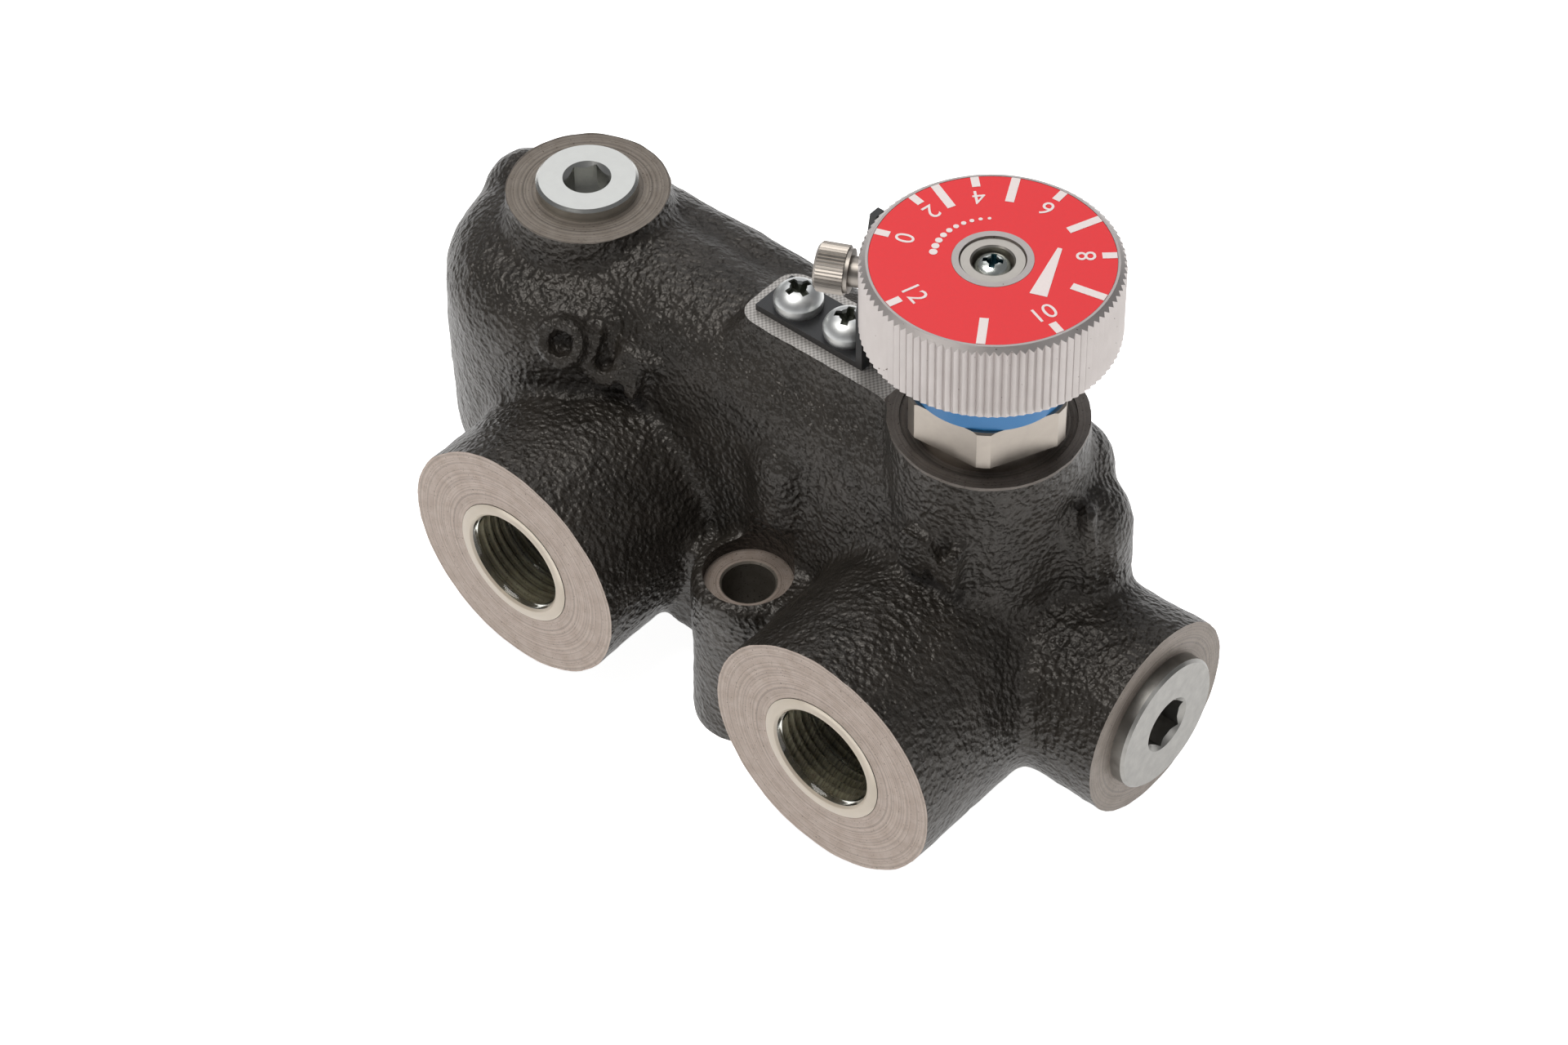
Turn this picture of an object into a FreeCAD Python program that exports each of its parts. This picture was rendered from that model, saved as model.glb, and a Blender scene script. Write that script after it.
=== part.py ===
import FreeCAD
import Part
import math
import os

# Three-port, pressure-compensated variable flow control valve.
# Millimetres. +Z up. The origin is on the axis of the front mounting hole, in the base plane.
# X runs along the compensator bore, towards the end plug. The two front ports face -Y.

os.makedirs("parts", exist_ok=True)

V = FreeCAD.Vector
EX, EY, EZ = V(1, 0, 0), V(0, 1, 0), V(0, 0, 1)

# --- main stations ---
AXIS_Y = 27.6            # plane that holds the knob, the top plug and the compensator bore
REAR_LUG_Y = 2 * AXIS_Y  # rear mounting hole, opposite the front one at Y = 0
PORT_Z = 30.0            # height of the ports and of the compensator bore
KNOB_X = 38.4            # knob, orifice and inlet port
OUT_X = -43.9            # regulated outlet in front, bypass port behind
PLUG_X = -66.1           # top plug
PORT_FACE_Y = -22.7
BYPASS_FACE_Y = 55.6
END_FACE_X = 81.7
DECK_Z = 84.9            # machined pad and top-plug face
BONNET_FACE_Z = 85.7

# --- casting ---
PORT_BOSS_R = 27.0
END_BOSS_R = 21.1
KNOB_BOSS_R = 19.5
PLUG_BOSS_R = 16.9
LEFT_END_R = 30.5
UPPER_BARREL_R = 17.5
UPPER_BARREL_Z = 64.4
REAR_WALL_Y = 50.5
REAR_TOP_Z = 78.4
REAR_EDGE_R = 10.0
REAR_BEND_X = -74.0
REAR_RIGHT_X = 47.4
REAR_LEFT_END = (-88.0, 32.5)   # plan centre of the rounded left end
REAR_FLOOR_Z = 20.0
SHOULDER_X = 55.0
SHOULDER_Y = 35.5
SHOULDER_R = 11.0
SHOULDER_TOP_Z = 71.5
SHOULDER_FILLET = 8.0
LEFT_FLOOR_Z = 17.0
LEFT_TOP_FILLET = 14.0
LEFT_FOOT_FILLET = 10.0
LUG_R = 11.7
LUG_TOP_Z = 35.6
LUG_WEB_LENGTH = 18.0      # how far each lug's web runs in under the casting
REAR_FOOT_HALF_LENGTH = 32.0
REAR_FOOT_HEIGHT = 14.0
SPOT_FACE_R = 9.2
SPOT_FACE_TOP_Z = 47.4
RIB_R = 9.5
RIB_X = -0.5
RIB_Y = 15.5
RIB_TOP_Z = 58.6
PAD_HALF_WIDTH = 8.6
PAD_FLARE = 4.0            # how far the pad's sides spread on their way down
PAD_DROP = 9.0

# --- holes in the casting ---
MOUNT_HOLE_R = 5.5
PORT_THREAD_R = 12.06    # minor radius of a G 3/4 thread
PORT_THREAD_LENGTH = 16.0
CAP_SEAT_R = 14.35
CAP_SEAT_DEPTH = 1.6
PASSAGE_R = 10.5
BORE_R = 10.55
BORE_END_X = -22.0
BORE_THREAD_START_X = 66.0
END_PLUG_THREAD_R = 12.0
TOP_PLUG_THREAD_R = 8.0
TOP_PLUG_DEPTH = 12.5
GALLERY_R = 7.0
RELIEF_FLOOR_Z = 48.4
BYPASS_GALLERY_Y = 39.0
BYPASS_GALLERY_Z = 51.4
BYPASS_GALLERY_R = 5.5
BYPASS_DROP_Y = 41.0
GROOVE_DRILL_R = 4.5
POINTER_TAP_R = 2.5
POINTER_TAP_DEPTH = 11.0
BYPASS_GROOVE_X = (12.0, 22.0)
BYPASS_GROOVE_R = 13.0
THREAD_GAP = 0.03        # radial gap drawn between a male and a female thread
RUNNING_GAP = 0.05       # radial gap of a running fit

# --- screw plugs and their seals ---
PLUG_COLLAR_HEIGHT = 3.0
TOP_COLLAR_R = 10.5
TOP_SOCKET_AF = 8.0
TOP_SEAL_R = 9.3
END_COLLAR_R = 14.4
END_SOCKET_AF = 10.0
END_SEAL_R = 13.2
SEAL_LIFT = 0.45         # seal centre above the machined face

# --- bonnet, sleeve and spindle ---
BONNET_THREAD_R = 13.0
BONNET_SHOULDER_Z = 73.4
SLEEVE_R = 10.0
SLEEVE_BORE_R = 7.5
SLEEVE_Z = (43.4, 69.2)
SLEEVE_RING_Z = (47.4, 54.4)
SPOOL_Z = (44.4, 68.8)
DRIVE_PIN_Z = 66.6
SPINDLE_RING_Z = 80.9
NECK_R = 8.6
NECK_TOP_Z = 120.8
HEX_AF = 30.0
HEX_Z = (88.0, 97.0)
HEX_TURN = 5.0           # degrees
HEX_ROUND_R = 16.6
DUST_RING_R = 15.6
DUST_SPIGOT_R = 14.0
BONNET_RING_DROP = 1.3   # O-ring centre below the casting's deck
SPINDLE_RING_R = 6.2
SLEEVE_RING_R = 9.3
COLLAR_R = 14.6
BONNET_SPOT_R = 17.2
SPINDLE_R = 5.0
SPINDLE_TOP_Z = 121.1
SPINDLE_TAIL_R = 3.0
TENON_HALF = 2.9         # square tenon that turns with the knob bush
DRIVE_PIN_R = 1.0
DRIVE_PIN_LENGTH = 14.4
METERING_SLOTS = (1.6, 2.6, 3.6, 4.6, 5.6)   # heights of the steps of the metering window

# --- compensator ---
LEFT_LAND_X = (6.0, 26.0)
RIGHT_LAND_X = (54.0, 64.0)
SPOOL_STEM_R = 5.5
SPOOL_STOP_X = 66.6
SPRING_SEAT_X = 20.0
SPRING_R = 7.0
SPRING_TURNS = 6.0
WIRE_R = 1.0

# --- knob ---
KNOB_R = 25.0
KNOB_TOP_Z = 126.4
KNOB_BOTTOM_Z = 108.8
KNURL_COUNT = 96
KNURL_DEPTH = 0.65
KNOB_CHAMFER = 1.3
DIAL_R = 23.14
DIAL_HOLE_R = 7.75
DIAL_THICKNESS = 0.5
LIP_R = 7.7
BUSH_R = 6.36
BUSH_TOP_Z = 126.0
BUSH_FLOOR_Z = 122.9
SCREW_WELL_R = 4.0
LOCK_ANGLE = 206.0       # degrees from +X about the knob axis
LOCK_Z = 117.4
LOCK_HEAD_R = 4.85
LOCK_HEAD_SPAN = (27.0, 33.6)   # distances from the knob axis
LOCK_SHANK_R = 3.0
LOCK_SHANK_LENGTH = 14.5

# --- pointer plate ---
POINTER_X = (-16.1, 11.2)
POINTER_HALF_WIDTH = 5.5
POINTER_THICKNESS = 1.5
POINTER_TIP_Z = 122.0
POINTER_TAPER_Z = 99.4
POINTER_SCREW_X = (-9.6, 3.1)
POINTER_SCREW_TURN = (-16.0, 22.0)   # degrees, of each cross recess
PAN_HEAD_R = 5.0
PAN_HEAD_HEIGHT = 3.6
WASHER_THICKNESS = 0.9


def rod(start, direction, length, radius):
    """Solid cylinder from a start point along a direction."""
    return Part.makeCylinder(radius, length, start, direction)


def rod_x(x0, x1, y, z, radius):
    return rod(V(x0, y, z), EX, x1 - x0, radius)


def rod_y(y0, y1, x, z, radius):
    return rod(V(x, y0, z), EY, y1 - y0, radius)


def rod_z(z0, z1, x, y, radius):
    return rod(V(x, y, z0), EZ, z1 - z0, radius)


def between(a, b, radius):
    """Solid cylinder from point a to point b."""
    span = b.sub(a)
    return rod(a, span, span.Length, radius)


def box(x0, x1, y0, y1, z0, z1):
    return Part.makeBox(x1 - x0, y1 - y0, z1 - z0, V(x0, y0, z0))


def prism(points, direction):
    """Straight prism on a closed outline."""
    wire = Part.makePolygon(points + [points[0]])
    return Part.Face(wire).extrude(direction)


def turned(profile, x, y):
    """Solid turned about a vertical axis from (radius, height) points."""
    points = [V(x + r, y, h) for r, h in profile]
    face = Part.Face(Part.makePolygon(points + [points[0]]))
    return face.revolve(V(x, y, 0), EZ, 360)


def hex_prism(centre, normal, across_flats, length, turn=0.0):
    """Hexagon bar from a centre along a normal; turn is in degrees about it."""
    reach = across_flats / math.sqrt(3)
    corners = []
    for i in range(6):
        a = math.radians(60 * i + turn)
        corners.append(V(reach * math.cos(a), reach * math.sin(a), 0))
    bar = prism(corners, V(0, 0, length))
    bar.Placement = FreeCAD.Placement(centre, FreeCAD.Rotation(EZ, normal))
    return bar


def ring(centre, normal, radius, section_r):
    return Part.makeTorus(radius, section_r, centre, normal)


def save(name, *solids):
    """Write one node, as one solid or as a group of separate solids."""
    shape = solids[0] if len(solids) == 1 else Part.makeCompound(list(solids))
    shape.exportStep("parts/" + name + ".step")


def sloped_web(x0, x1):
    """Wall that joins the upper barrel to the compensator barrel, leaning back as it rises."""
    slope = math.asin((END_BOSS_R - UPPER_BARREL_R) / (UPPER_BARREL_Z - PORT_Z))
    upper = V(x0, AXIS_Y, UPPER_BARREL_Z)
    lower = V(x0, AXIS_Y, PORT_Z)
    outline = []
    for side, centre, radius in ((-1, lower, END_BOSS_R), (-1, upper, UPPER_BARREL_R),
                                 (1, upper, UPPER_BARREL_R), (1, lower, END_BOSS_R)):
        offset = V(0, side * radius * math.cos(slope), radius * math.sin(slope))
        outline.append(centre.add(offset))
    return prism(outline, V(x1 - x0, 0, 0))


def round_topped_wall(start, end):
    """Upright wall between two plan points, with a half-round top and round ends."""
    arc_z = REAR_TOP_Z - REAR_EDGE_R
    a, b = V(start[0], start[1], REAR_FLOOR_Z), V(end[0], end[1], REAR_FLOOR_Z)
    along = b.sub(a)
    across = V(-along.y, along.x, 0).normalize().multiply(REAR_EDGE_R)
    wall = prism([a.add(across), b.add(across), b.sub(across), a.sub(across)],
                 V(0, 0, arc_z - REAR_FLOOR_Z))
    lift = V(0, 0, arc_z - REAR_FLOOR_Z)
    pieces = [between(a.add(lift), b.add(lift), REAR_EDGE_R)]
    for p in (a, b):
        pieces.append(rod_z(REAR_FLOOR_Z, arc_z, p.x, p.y, REAR_EDGE_R))
        pieces.append(Part.makeSphere(REAR_EDGE_R, p.add(lift)))
    return wall.multiFuse(pieces)


def rear_block():
    """Rear gallery wall with rounded top edge and ends, which makes the far outline of the casting."""
    arc_y = REAR_WALL_Y - REAR_EDGE_R
    wall = round_topped_wall((REAR_BEND_X, arc_y), (REAR_RIGHT_X, arc_y))
    wing = round_topped_wall((REAR_BEND_X, arc_y), REAR_LEFT_END)
    filler = box(REAR_BEND_X, REAR_RIGHT_X, AXIS_Y, arc_y, REAR_FLOOR_Z, REAR_TOP_Z)
    return wall.multiFuse([wing, filler])


def level_rims(solid, z):
    """Full-circle edges of a solid that lie at a height."""
    return [e for e in solid.Edges if len(e.Vertexes) == 1 and abs(e.CenterOfMass.z - z) < 0.01]


def left_end():
    """Upright rounded end of the casting around the top-plug axis."""
    top = REAR_TOP_Z - 2.0
    drum = rod_z(LEFT_FLOOR_Z, top, PLUG_X, AXIS_Y, LEFT_END_R)
    drum = drum.makeFillet(LEFT_TOP_FILLET, level_rims(drum, top))
    drum = drum.makeFillet(LEFT_FOOT_FILLET, level_rims(drum, LEFT_FLOOR_Z))
    return drum.common(box(PLUG_X - 40, PLUG_X + 40, AXIS_Y - 40, REAR_WALL_Y - 4, 0, top))


def shoulder():
    """Rounded web to the right of the knob column, above the end boss."""
    post = rod_z(PORT_Z, SHOULDER_TOP_Z, SHOULDER_X, SHOULDER_Y, SHOULDER_R)
    return post.makeFillet(SHOULDER_FILLET, level_rims(post, SHOULDER_TOP_Z))


def pad():
    """Raised seat for the pointer plate, with sloping sides that run into the barrel."""
    half, x0, x1 = PAD_HALF_WIDTH, POINTER_X[0] - 2.4, KNOB_X - 14
    top = [V(x0 + 1.2, AXIS_Y - half + 1.8, DECK_Z), V(x0 + 3.2, AXIS_Y - half, DECK_Z),
           V(x1, AXIS_Y - half, DECK_Z), V(x1, AXIS_Y + half, DECK_Z),
           V(x0 + 3.2, AXIS_Y + half, DECK_Z), V(x0, AXIS_Y + 2.5, DECK_Z), V(x0, AXIS_Y - 1.5, DECK_Z)]
    foot = []
    for p in top:
        side = 1 if p.y > AXIS_Y else -1
        back = PAD_FLARE / 2 if p.x < x1 else 0
        foot.append(V(p.x - back, p.y + side * PAD_FLARE, DECK_Z - PAD_DROP))
    wires = [Part.makePolygon(outline + [outline[0]]) for outline in (foot, top)]
    return Part.makeLoft(wires, True, True)


def casting_blank():
    """Outside of the casting before anything is machined."""
    masses = [
        rod_x(PLUG_X, END_FACE_X, AXIS_Y, PORT_Z, END_BOSS_R),
        rod_x(PLUG_X, KNOB_X + 10, AXIS_Y, UPPER_BARREL_Z, UPPER_BARREL_R),
        sloped_web(PLUG_X, KNOB_X + 10),
        rear_block(),
        rod_z(PORT_Z, BONNET_FACE_Z, KNOB_X, AXIS_Y, KNOB_BOSS_R),
        rod_z(PORT_Z, DECK_Z, PLUG_X, AXIS_Y, PLUG_BOSS_R),
        rod_y(PORT_FACE_Y, AXIS_Y, OUT_X, PORT_Z, PORT_BOSS_R),
        rod_y(PORT_FACE_Y, AXIS_Y, KNOB_X, PORT_Z, PORT_BOSS_R),
        rod_y(AXIS_Y, BYPASS_FACE_Y, OUT_X, PORT_Z, PORT_BOSS_R),
        shoulder(),
        pad(),
        rod_z(LUG_TOP_Z - 4, RIB_TOP_Z, RIB_X, RIB_Y, RIB_R),
        Part.makeSphere(RIB_R, V(RIB_X, RIB_Y, RIB_TOP_Z)),
        box(-22, -LUG_R + 1, 0, 12, 9, LUG_TOP_Z - 2),
        box(-REAR_FOOT_HALF_LENGTH, REAR_FOOT_HALF_LENGTH, REAR_LUG_Y - 14, REAR_LUG_Y + 4, 0,
            REAR_FOOT_HEIGHT),
    ]
    for y, inward in ((0.0, 1), (REAR_LUG_Y, -1)):
        masses.append(rod_z(0, LUG_TOP_Z, 0, y, LUG_R))
        reach = y + inward * LUG_WEB_LENGTH
        masses.append(box(-LUG_R, LUG_R, min(y, reach), max(y, reach), 0, LUG_TOP_Z))
    return left_end().multiFuse(masses)


def casting_cuts():
    """Every drilled, bored and faced volume of the casting."""
    thread_end = PORT_FACE_Y + CAP_SEAT_DEPTH + PORT_THREAD_LENGTH
    bypass_thread_end = BYPASS_FACE_Y - CAP_SEAT_DEPTH - PORT_THREAD_LENGTH
    cuts = []
    for x in (OUT_X, KNOB_X):
        cuts.append(rod_y(PORT_FACE_Y, PORT_FACE_Y + CAP_SEAT_DEPTH, x, PORT_Z, CAP_SEAT_R))
        cuts.append(rod_y(PORT_FACE_Y, thread_end, x, PORT_Z, PORT_THREAD_R))
        cuts.append(rod_y(thread_end - 1, AXIS_Y - 1.6, x, PORT_Z, PASSAGE_R))
    cuts.append(rod_y(BYPASS_FACE_Y - CAP_SEAT_DEPTH, BYPASS_FACE_Y, OUT_X, PORT_Z, CAP_SEAT_R))
    cuts.append(rod_y(bypass_thread_end, BYPASS_FACE_Y, OUT_X, PORT_Z, PORT_THREAD_R))
    cuts.append(rod_z(PORT_Z, BYPASS_GALLERY_Z, OUT_X, BYPASS_DROP_Y, BYPASS_GALLERY_R))
    # compensator bore, with its bypass groove and the thread for the end plug
    cuts.append(rod_x(BORE_END_X, END_FACE_X, AXIS_Y, PORT_Z, BORE_R))
    cuts.append(rod_x(BORE_THREAD_START_X, END_FACE_X, AXIS_Y, PORT_Z, END_PLUG_THREAD_R))
    cuts.append(rod_x(BYPASS_GROOVE_X[0], BYPASS_GROOVE_X[1], AXIS_Y, PORT_Z, BYPASS_GROOVE_R))
    groove_x = sum(BYPASS_GROOVE_X) / 2
    groove_top = V(groove_x, AXIS_Y + 4, PORT_Z + BORE_R)
    gallery_start = V(groove_x, BYPASS_GALLERY_Y, BYPASS_GALLERY_Z)
    cuts.append(between(groove_top, gallery_start, GROOVE_DRILL_R))
    cuts.append(rod_x(OUT_X, groove_x, BYPASS_GALLERY_Y, BYPASS_GALLERY_Z, BYPASS_GALLERY_R))
    # regulated-flow gallery: orifice, along the upper barrel, and down to the outlet
    cuts.append(rod_x(PLUG_X, KNOB_X, AXIS_Y, UPPER_BARREL_Z, GALLERY_R))
    cuts.append(rod_z(PORT_Z, UPPER_BARREL_Z, OUT_X - 2, AXIS_Y - 6, GALLERY_R))
    cuts.append(rod_z(RELIEF_FLOOR_Z, DECK_Z, PLUG_X, AXIS_Y, GALLERY_R))
    cuts.append(rod_z(DECK_Z - TOP_PLUG_DEPTH, DECK_Z, PLUG_X, AXIS_Y, TOP_PLUG_THREAD_R))
    # bonnet thread, its seal face and the bore for the orifice sleeve
    cuts.append(rod_z(PORT_Z, BONNET_FACE_Z, KNOB_X, AXIS_Y, SLEEVE_R))
    cuts.append(rod_z(BONNET_SHOULDER_Z, BONNET_FACE_Z, KNOB_X, AXIS_Y, BONNET_THREAD_R))
    cuts.append(rod_z(DECK_Z, BONNET_FACE_Z, KNOB_X, AXIS_Y, BONNET_SPOT_R))
    for x in POINTER_SCREW_X:
        cuts.append(rod_z(DECK_Z - POINTER_TAP_DEPTH, DECK_Z, x, AXIS_Y, POINTER_TAP_R))
    for y in (0.0, REAR_LUG_Y):
        cuts.append(rod_z(LUG_TOP_Z, SPOT_FACE_TOP_Z, 0, y, SPOT_FACE_R))
    cuts.append(rod_z(0, LUG_TOP_Z, 0, 0, MOUNT_HOLE_R))
    # the drill for the rear hole also grazes the wall above its lug
    cuts.append(rod_z(0, DECK_Z, 0, REAR_LUG_Y, MOUNT_HOLE_R))
    return cuts


def valve_body():
    body = casting_blank()
    for cutter in casting_cuts():
        body = body.cut(cutter)
    return body.removeSplitter()


def hex_plug(face, normal, collar_r, shank_r, shank_length, hex_af, hex_depth):
    """Screw plug with a collar and a hexagon socket; face is where the collar seats."""
    inward = V(-normal.x, -normal.y, -normal.z)
    collar = rod(face, normal, PLUG_COLLAR_HEIGHT, collar_r)
    top = V(normal.x, normal.y, normal.z).multiply(PLUG_COLLAR_HEIGHT).add(face)
    rims = [e for e in collar.Edges if len(e.Vertexes) == 1 and e.CenterOfMass.sub(top).Length < 0.01]
    collar = collar.makeChamfer(0.6, rims)
    plug = collar.fuse(rod(face, inward, shank_length, shank_r))
    socket = hex_prism(top, inward, hex_af, hex_depth, 12)
    mouth_r = hex_af / math.sqrt(3) + 0.35
    mouth = Part.makeCone(mouth_r, mouth_r - 1.0, 1.0, top, inward)
    return plug.cut(socket).cut(mouth)


def top_plug():
    face = V(PLUG_X, AXIS_Y, DECK_Z)
    plug = hex_plug(face, EZ, TOP_COLLAR_R, TOP_PLUG_THREAD_R - THREAD_GAP, 11.5, TOP_SOCKET_AF, 6.0)
    groove = ring(face.add(V(0, 0, SEAL_LIFT)), EZ, TOP_SEAL_R, 0.8)
    return plug.cut(groove)


def end_plug():
    face = V(END_FACE_X, AXIS_Y, PORT_Z)
    plug = hex_plug(face, EX, END_COLLAR_R, END_PLUG_THREAD_R - THREAD_GAP, 14.5, END_SOCKET_AF, 7.0)
    groove = ring(face.add(V(SEAL_LIFT, 0, 0)), EX, END_SEAL_R, 0.7)
    return plug.cut(groove)


def bonnet():
    """Hexagon bonnet: thread, sealing collar, hexagon, neck and the spindle bore."""
    x, y = KNOB_X, AXIS_Y
    shank = rod_z(BONNET_SHOULDER_Z + 0.3, DECK_Z, x, y, BONNET_THREAD_R - THREAD_GAP)
    nose = rod_z(SLEEVE_Z[1] + 0.4, BONNET_SHOULDER_Z + 0.4, x, y, SLEEVE_R - THREAD_GAP)
    collar = rod_z(DECK_Z, HEX_Z[0], x, y, COLLAR_R)
    hexagon = hex_prism(V(x, y, HEX_Z[0]), EZ, HEX_AF, HEX_Z[1] - HEX_Z[0], HEX_TURN)
    trim = turned([(0, HEX_Z[0]), (HEX_ROUND_R, HEX_Z[0]), (HEX_ROUND_R, HEX_Z[1] - 0.4),
                   (HEX_ROUND_R - 0.4, HEX_Z[1]), (0, HEX_Z[1])], x, y)
    neck = turned([(0, HEX_Z[1]), (NECK_R, HEX_Z[1]), (NECK_R, NECK_TOP_Z - 0.6),
                   (NECK_R - 0.6, NECK_TOP_Z), (0, NECK_TOP_Z)], x, y)
    solid = shank.multiFuse([nose, collar, hexagon.common(trim), neck])
    solid = solid.cut(rod_z(60, NECK_TOP_Z + 1, x, y, SPINDLE_R + RUNNING_GAP))
    solid = solid.cut(rod_z(SLEEVE_Z[1], BONNET_SHOULDER_Z + 2, x, y, 7.4))
    solid = solid.cut(rod_z(SPINDLE_RING_Z - 1.5, SPINDLE_RING_Z + 1.5, x, y, 7.3))
    return solid.cut(ring(V(x, y, DECK_Z - BONNET_RING_DROP), EZ, BONNET_THREAD_R - 0.2, 1.1))


def dust_ring():
    """Polymer ring on the bonnet neck; its spigot runs in the recess under the knob."""
    step_z, spigot_r = KNOB_BOTTOM_Z - 0.4, DUST_SPIGOT_R
    bore_r, top_z = NECK_R + THREAD_GAP, KNOB_BOTTOM_Z + 1.8
    return turned([(bore_r, HEX_Z[1]), (DUST_RING_R, HEX_Z[1]), (DUST_RING_R, step_z), (spigot_r, step_z),
                   (spigot_r, top_z - 0.6), (spigot_r - 0.6, top_z), (bore_r, top_z)], KNOB_X, AXIS_Y)


def orifice_sleeve():
    """Ported sleeve: open at the foot, with a window into the regulated gallery."""
    x, y = KNOB_X, AXIS_Y
    sleeve = rod_z(SLEEVE_Z[0], SLEEVE_Z[1], x, y, SLEEVE_R - THREAD_GAP)
    sleeve = sleeve.cut(rod_z(SLEEVE_Z[0] - 1, SLEEVE_Z[1] + 1, x, y, SLEEVE_BORE_R))
    sleeve = sleeve.cut(box(x - 12, x, y - 4.5, y + 4.5, UPPER_BARREL_Z - 5, UPPER_BARREL_Z + 2))
    for z in SLEEVE_RING_Z:
        sleeve = sleeve.cut(ring(V(x, y, z), EZ, 9.75, 0.85))
    return sleeve


def orifice_spool():
    """Turning metering spool with a V-shaped window that opens and closes the flow."""
    x, y = KNOB_X, AXIS_Y
    outer_r = SLEEVE_BORE_R - RUNNING_GAP
    spool = rod_z(SPOOL_Z[0], SPOOL_Z[1], x, y, outer_r)
    hollow_top = SPOOL_Z[1] - 4.4
    spool = spool.cut(rod_z(SPOOL_Z[0] - 1, hollow_top, x, y, 5.6))
    for i, height in enumerate(METERING_SLOTS):
        slot = box(0, 10, -1.4, 1.4, hollow_top - 1.5 - height, hollow_top - 1.5)
        slot.rotate(V(0, 0, 0), EZ, 150 + 18 * i)
        slot.translate(V(x, y, 0))
        spool = spool.cut(slot)
    spool = spool.cut(rod_z(hollow_top - 0.1, SPOOL_Z[1] + 1, x, y, SPINDLE_TAIL_R + THREAD_GAP))
    return spool.cut(rod(V(x - 9, y, DRIVE_PIN_Z), EX, 18, DRIVE_PIN_R + RUNNING_GAP))


def spindle():
    x, y = KNOB_X, AXIS_Y
    stem_foot = SPOOL_Z[1] + 0.8
    stem = rod_z(stem_foot, SPINDLE_TOP_Z, x, y, SPINDLE_R)
    tail = rod_z(SPOOL_Z[1] - 4.3, stem_foot, x, y, SPINDLE_TAIL_R)
    tenon = box(x - TENON_HALF, x + TENON_HALF, y - TENON_HALF, y + TENON_HALF, SPINDLE_TOP_Z,
                BUSH_FLOOR_Z - 0.1)
    solid = stem.fuse(tail).fuse(tenon)
    solid = solid.cut(rod_z(SPINDLE_TOP_Z - 12, SPINDLE_TOP_Z + 4, x, y, 2.05))
    return solid.cut(rod(V(x - 9, y, DRIVE_PIN_Z), EX, 18, DRIVE_PIN_R + RUNNING_GAP))


def knurled_edge(radius, depth, count, z0, z1):
    """Prism with straight V-shaped knurls around it."""
    points = []
    for i in range(2 * count):
        r = radius if i % 2 == 0 else radius - depth
        a = math.pi * i / count
        points.append(V(r * math.cos(a), r * math.sin(a), z0))
    return prism(points, V(0, 0, z1 - z0))


def knob():
    x, y = KNOB_X, AXIS_Y
    body = knurled_edge(KNOB_R, KNURL_DEPTH, KNURL_COUNT, KNOB_BOTTOM_Z, KNOB_TOP_Z)
    body.translate(V(x, y, 0))
    rim = KNOB_R - KNOB_CHAMFER
    envelope = turned([(0, KNOB_BOTTOM_Z), (rim, KNOB_BOTTOM_Z), (KNOB_R + 0.1, KNOB_BOTTOM_Z + 0.9),
                       (KNOB_R + 0.1, KNOB_TOP_Z - KNOB_CHAMFER), (rim, KNOB_TOP_Z),
                       (0, KNOB_TOP_Z)], x, y)
    body = body.common(envelope)
    dial_floor = KNOB_TOP_Z - DIAL_THICKNESS
    pocket = rod_z(dial_floor, KNOB_TOP_Z + 1, x, y, DIAL_R + 0.08)
    body = body.cut(pocket.cut(rod_z(dial_floor, KNOB_TOP_Z + 1, x, y, LIP_R)))
    body = body.cut(rod_z(KNOB_BOTTOM_Z, KNOB_TOP_Z + 2, x, y, BUSH_R + 0.01))
    body = body.cut(rod_z(KNOB_BOTTOM_Z - 1, NECK_TOP_Z + 0.2, x, y, NECK_R + 0.4))
    body = body.cut(rod_z(KNOB_BOTTOM_Z - 1, KNOB_BOTTOM_Z + 2.2, x, y, DUST_SPIGOT_R + 0.4))
    return body.cut(rod(V(x, y, LOCK_Z), lock_direction(), KNOB_R + 5, LOCK_SHANK_R + RUNNING_GAP))


def lock_direction():
    a = math.radians(LOCK_ANGLE)
    return V(math.cos(a), math.sin(a), 0)


def on_lock_axis(distance):
    d = lock_direction()
    return V(KNOB_X + d.x * distance, AXIS_Y + d.y * distance, LOCK_Z)


def lock_screw():
    """Knurled screw in the side of the knob; its brass pad bears on the bonnet neck."""
    r0, r1 = LOCK_HEAD_SPAN
    head = knurled_edge(LOCK_HEAD_R, 0.22, 44, 0.8, r1 - r0)
    length = r1 - r0
    crown = turned([(0, 0.8), (LOCK_HEAD_R + 0.1, 0.8), (LOCK_HEAD_R + 0.1, length - 0.7),
                    (LOCK_HEAD_R - 0.6, length), (0, length)], 0, 0)
    head = head.common(crown)
    head = head.fuse(rod_z(0, 0.8, 0, 0, LOCK_HEAD_R - 0.5))
    head = head.fuse(rod_z(-LOCK_SHANK_LENGTH, 0.2, 0, 0, LOCK_SHANK_R))
    head = head.cut(hex_prism(V(0, 0, length - 3.5), EZ, 5.0, 4.0))
    head.Placement = FreeCAD.Placement(on_lock_axis(r0), FreeCAD.Rotation(EZ, lock_direction()))
    return head


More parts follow.
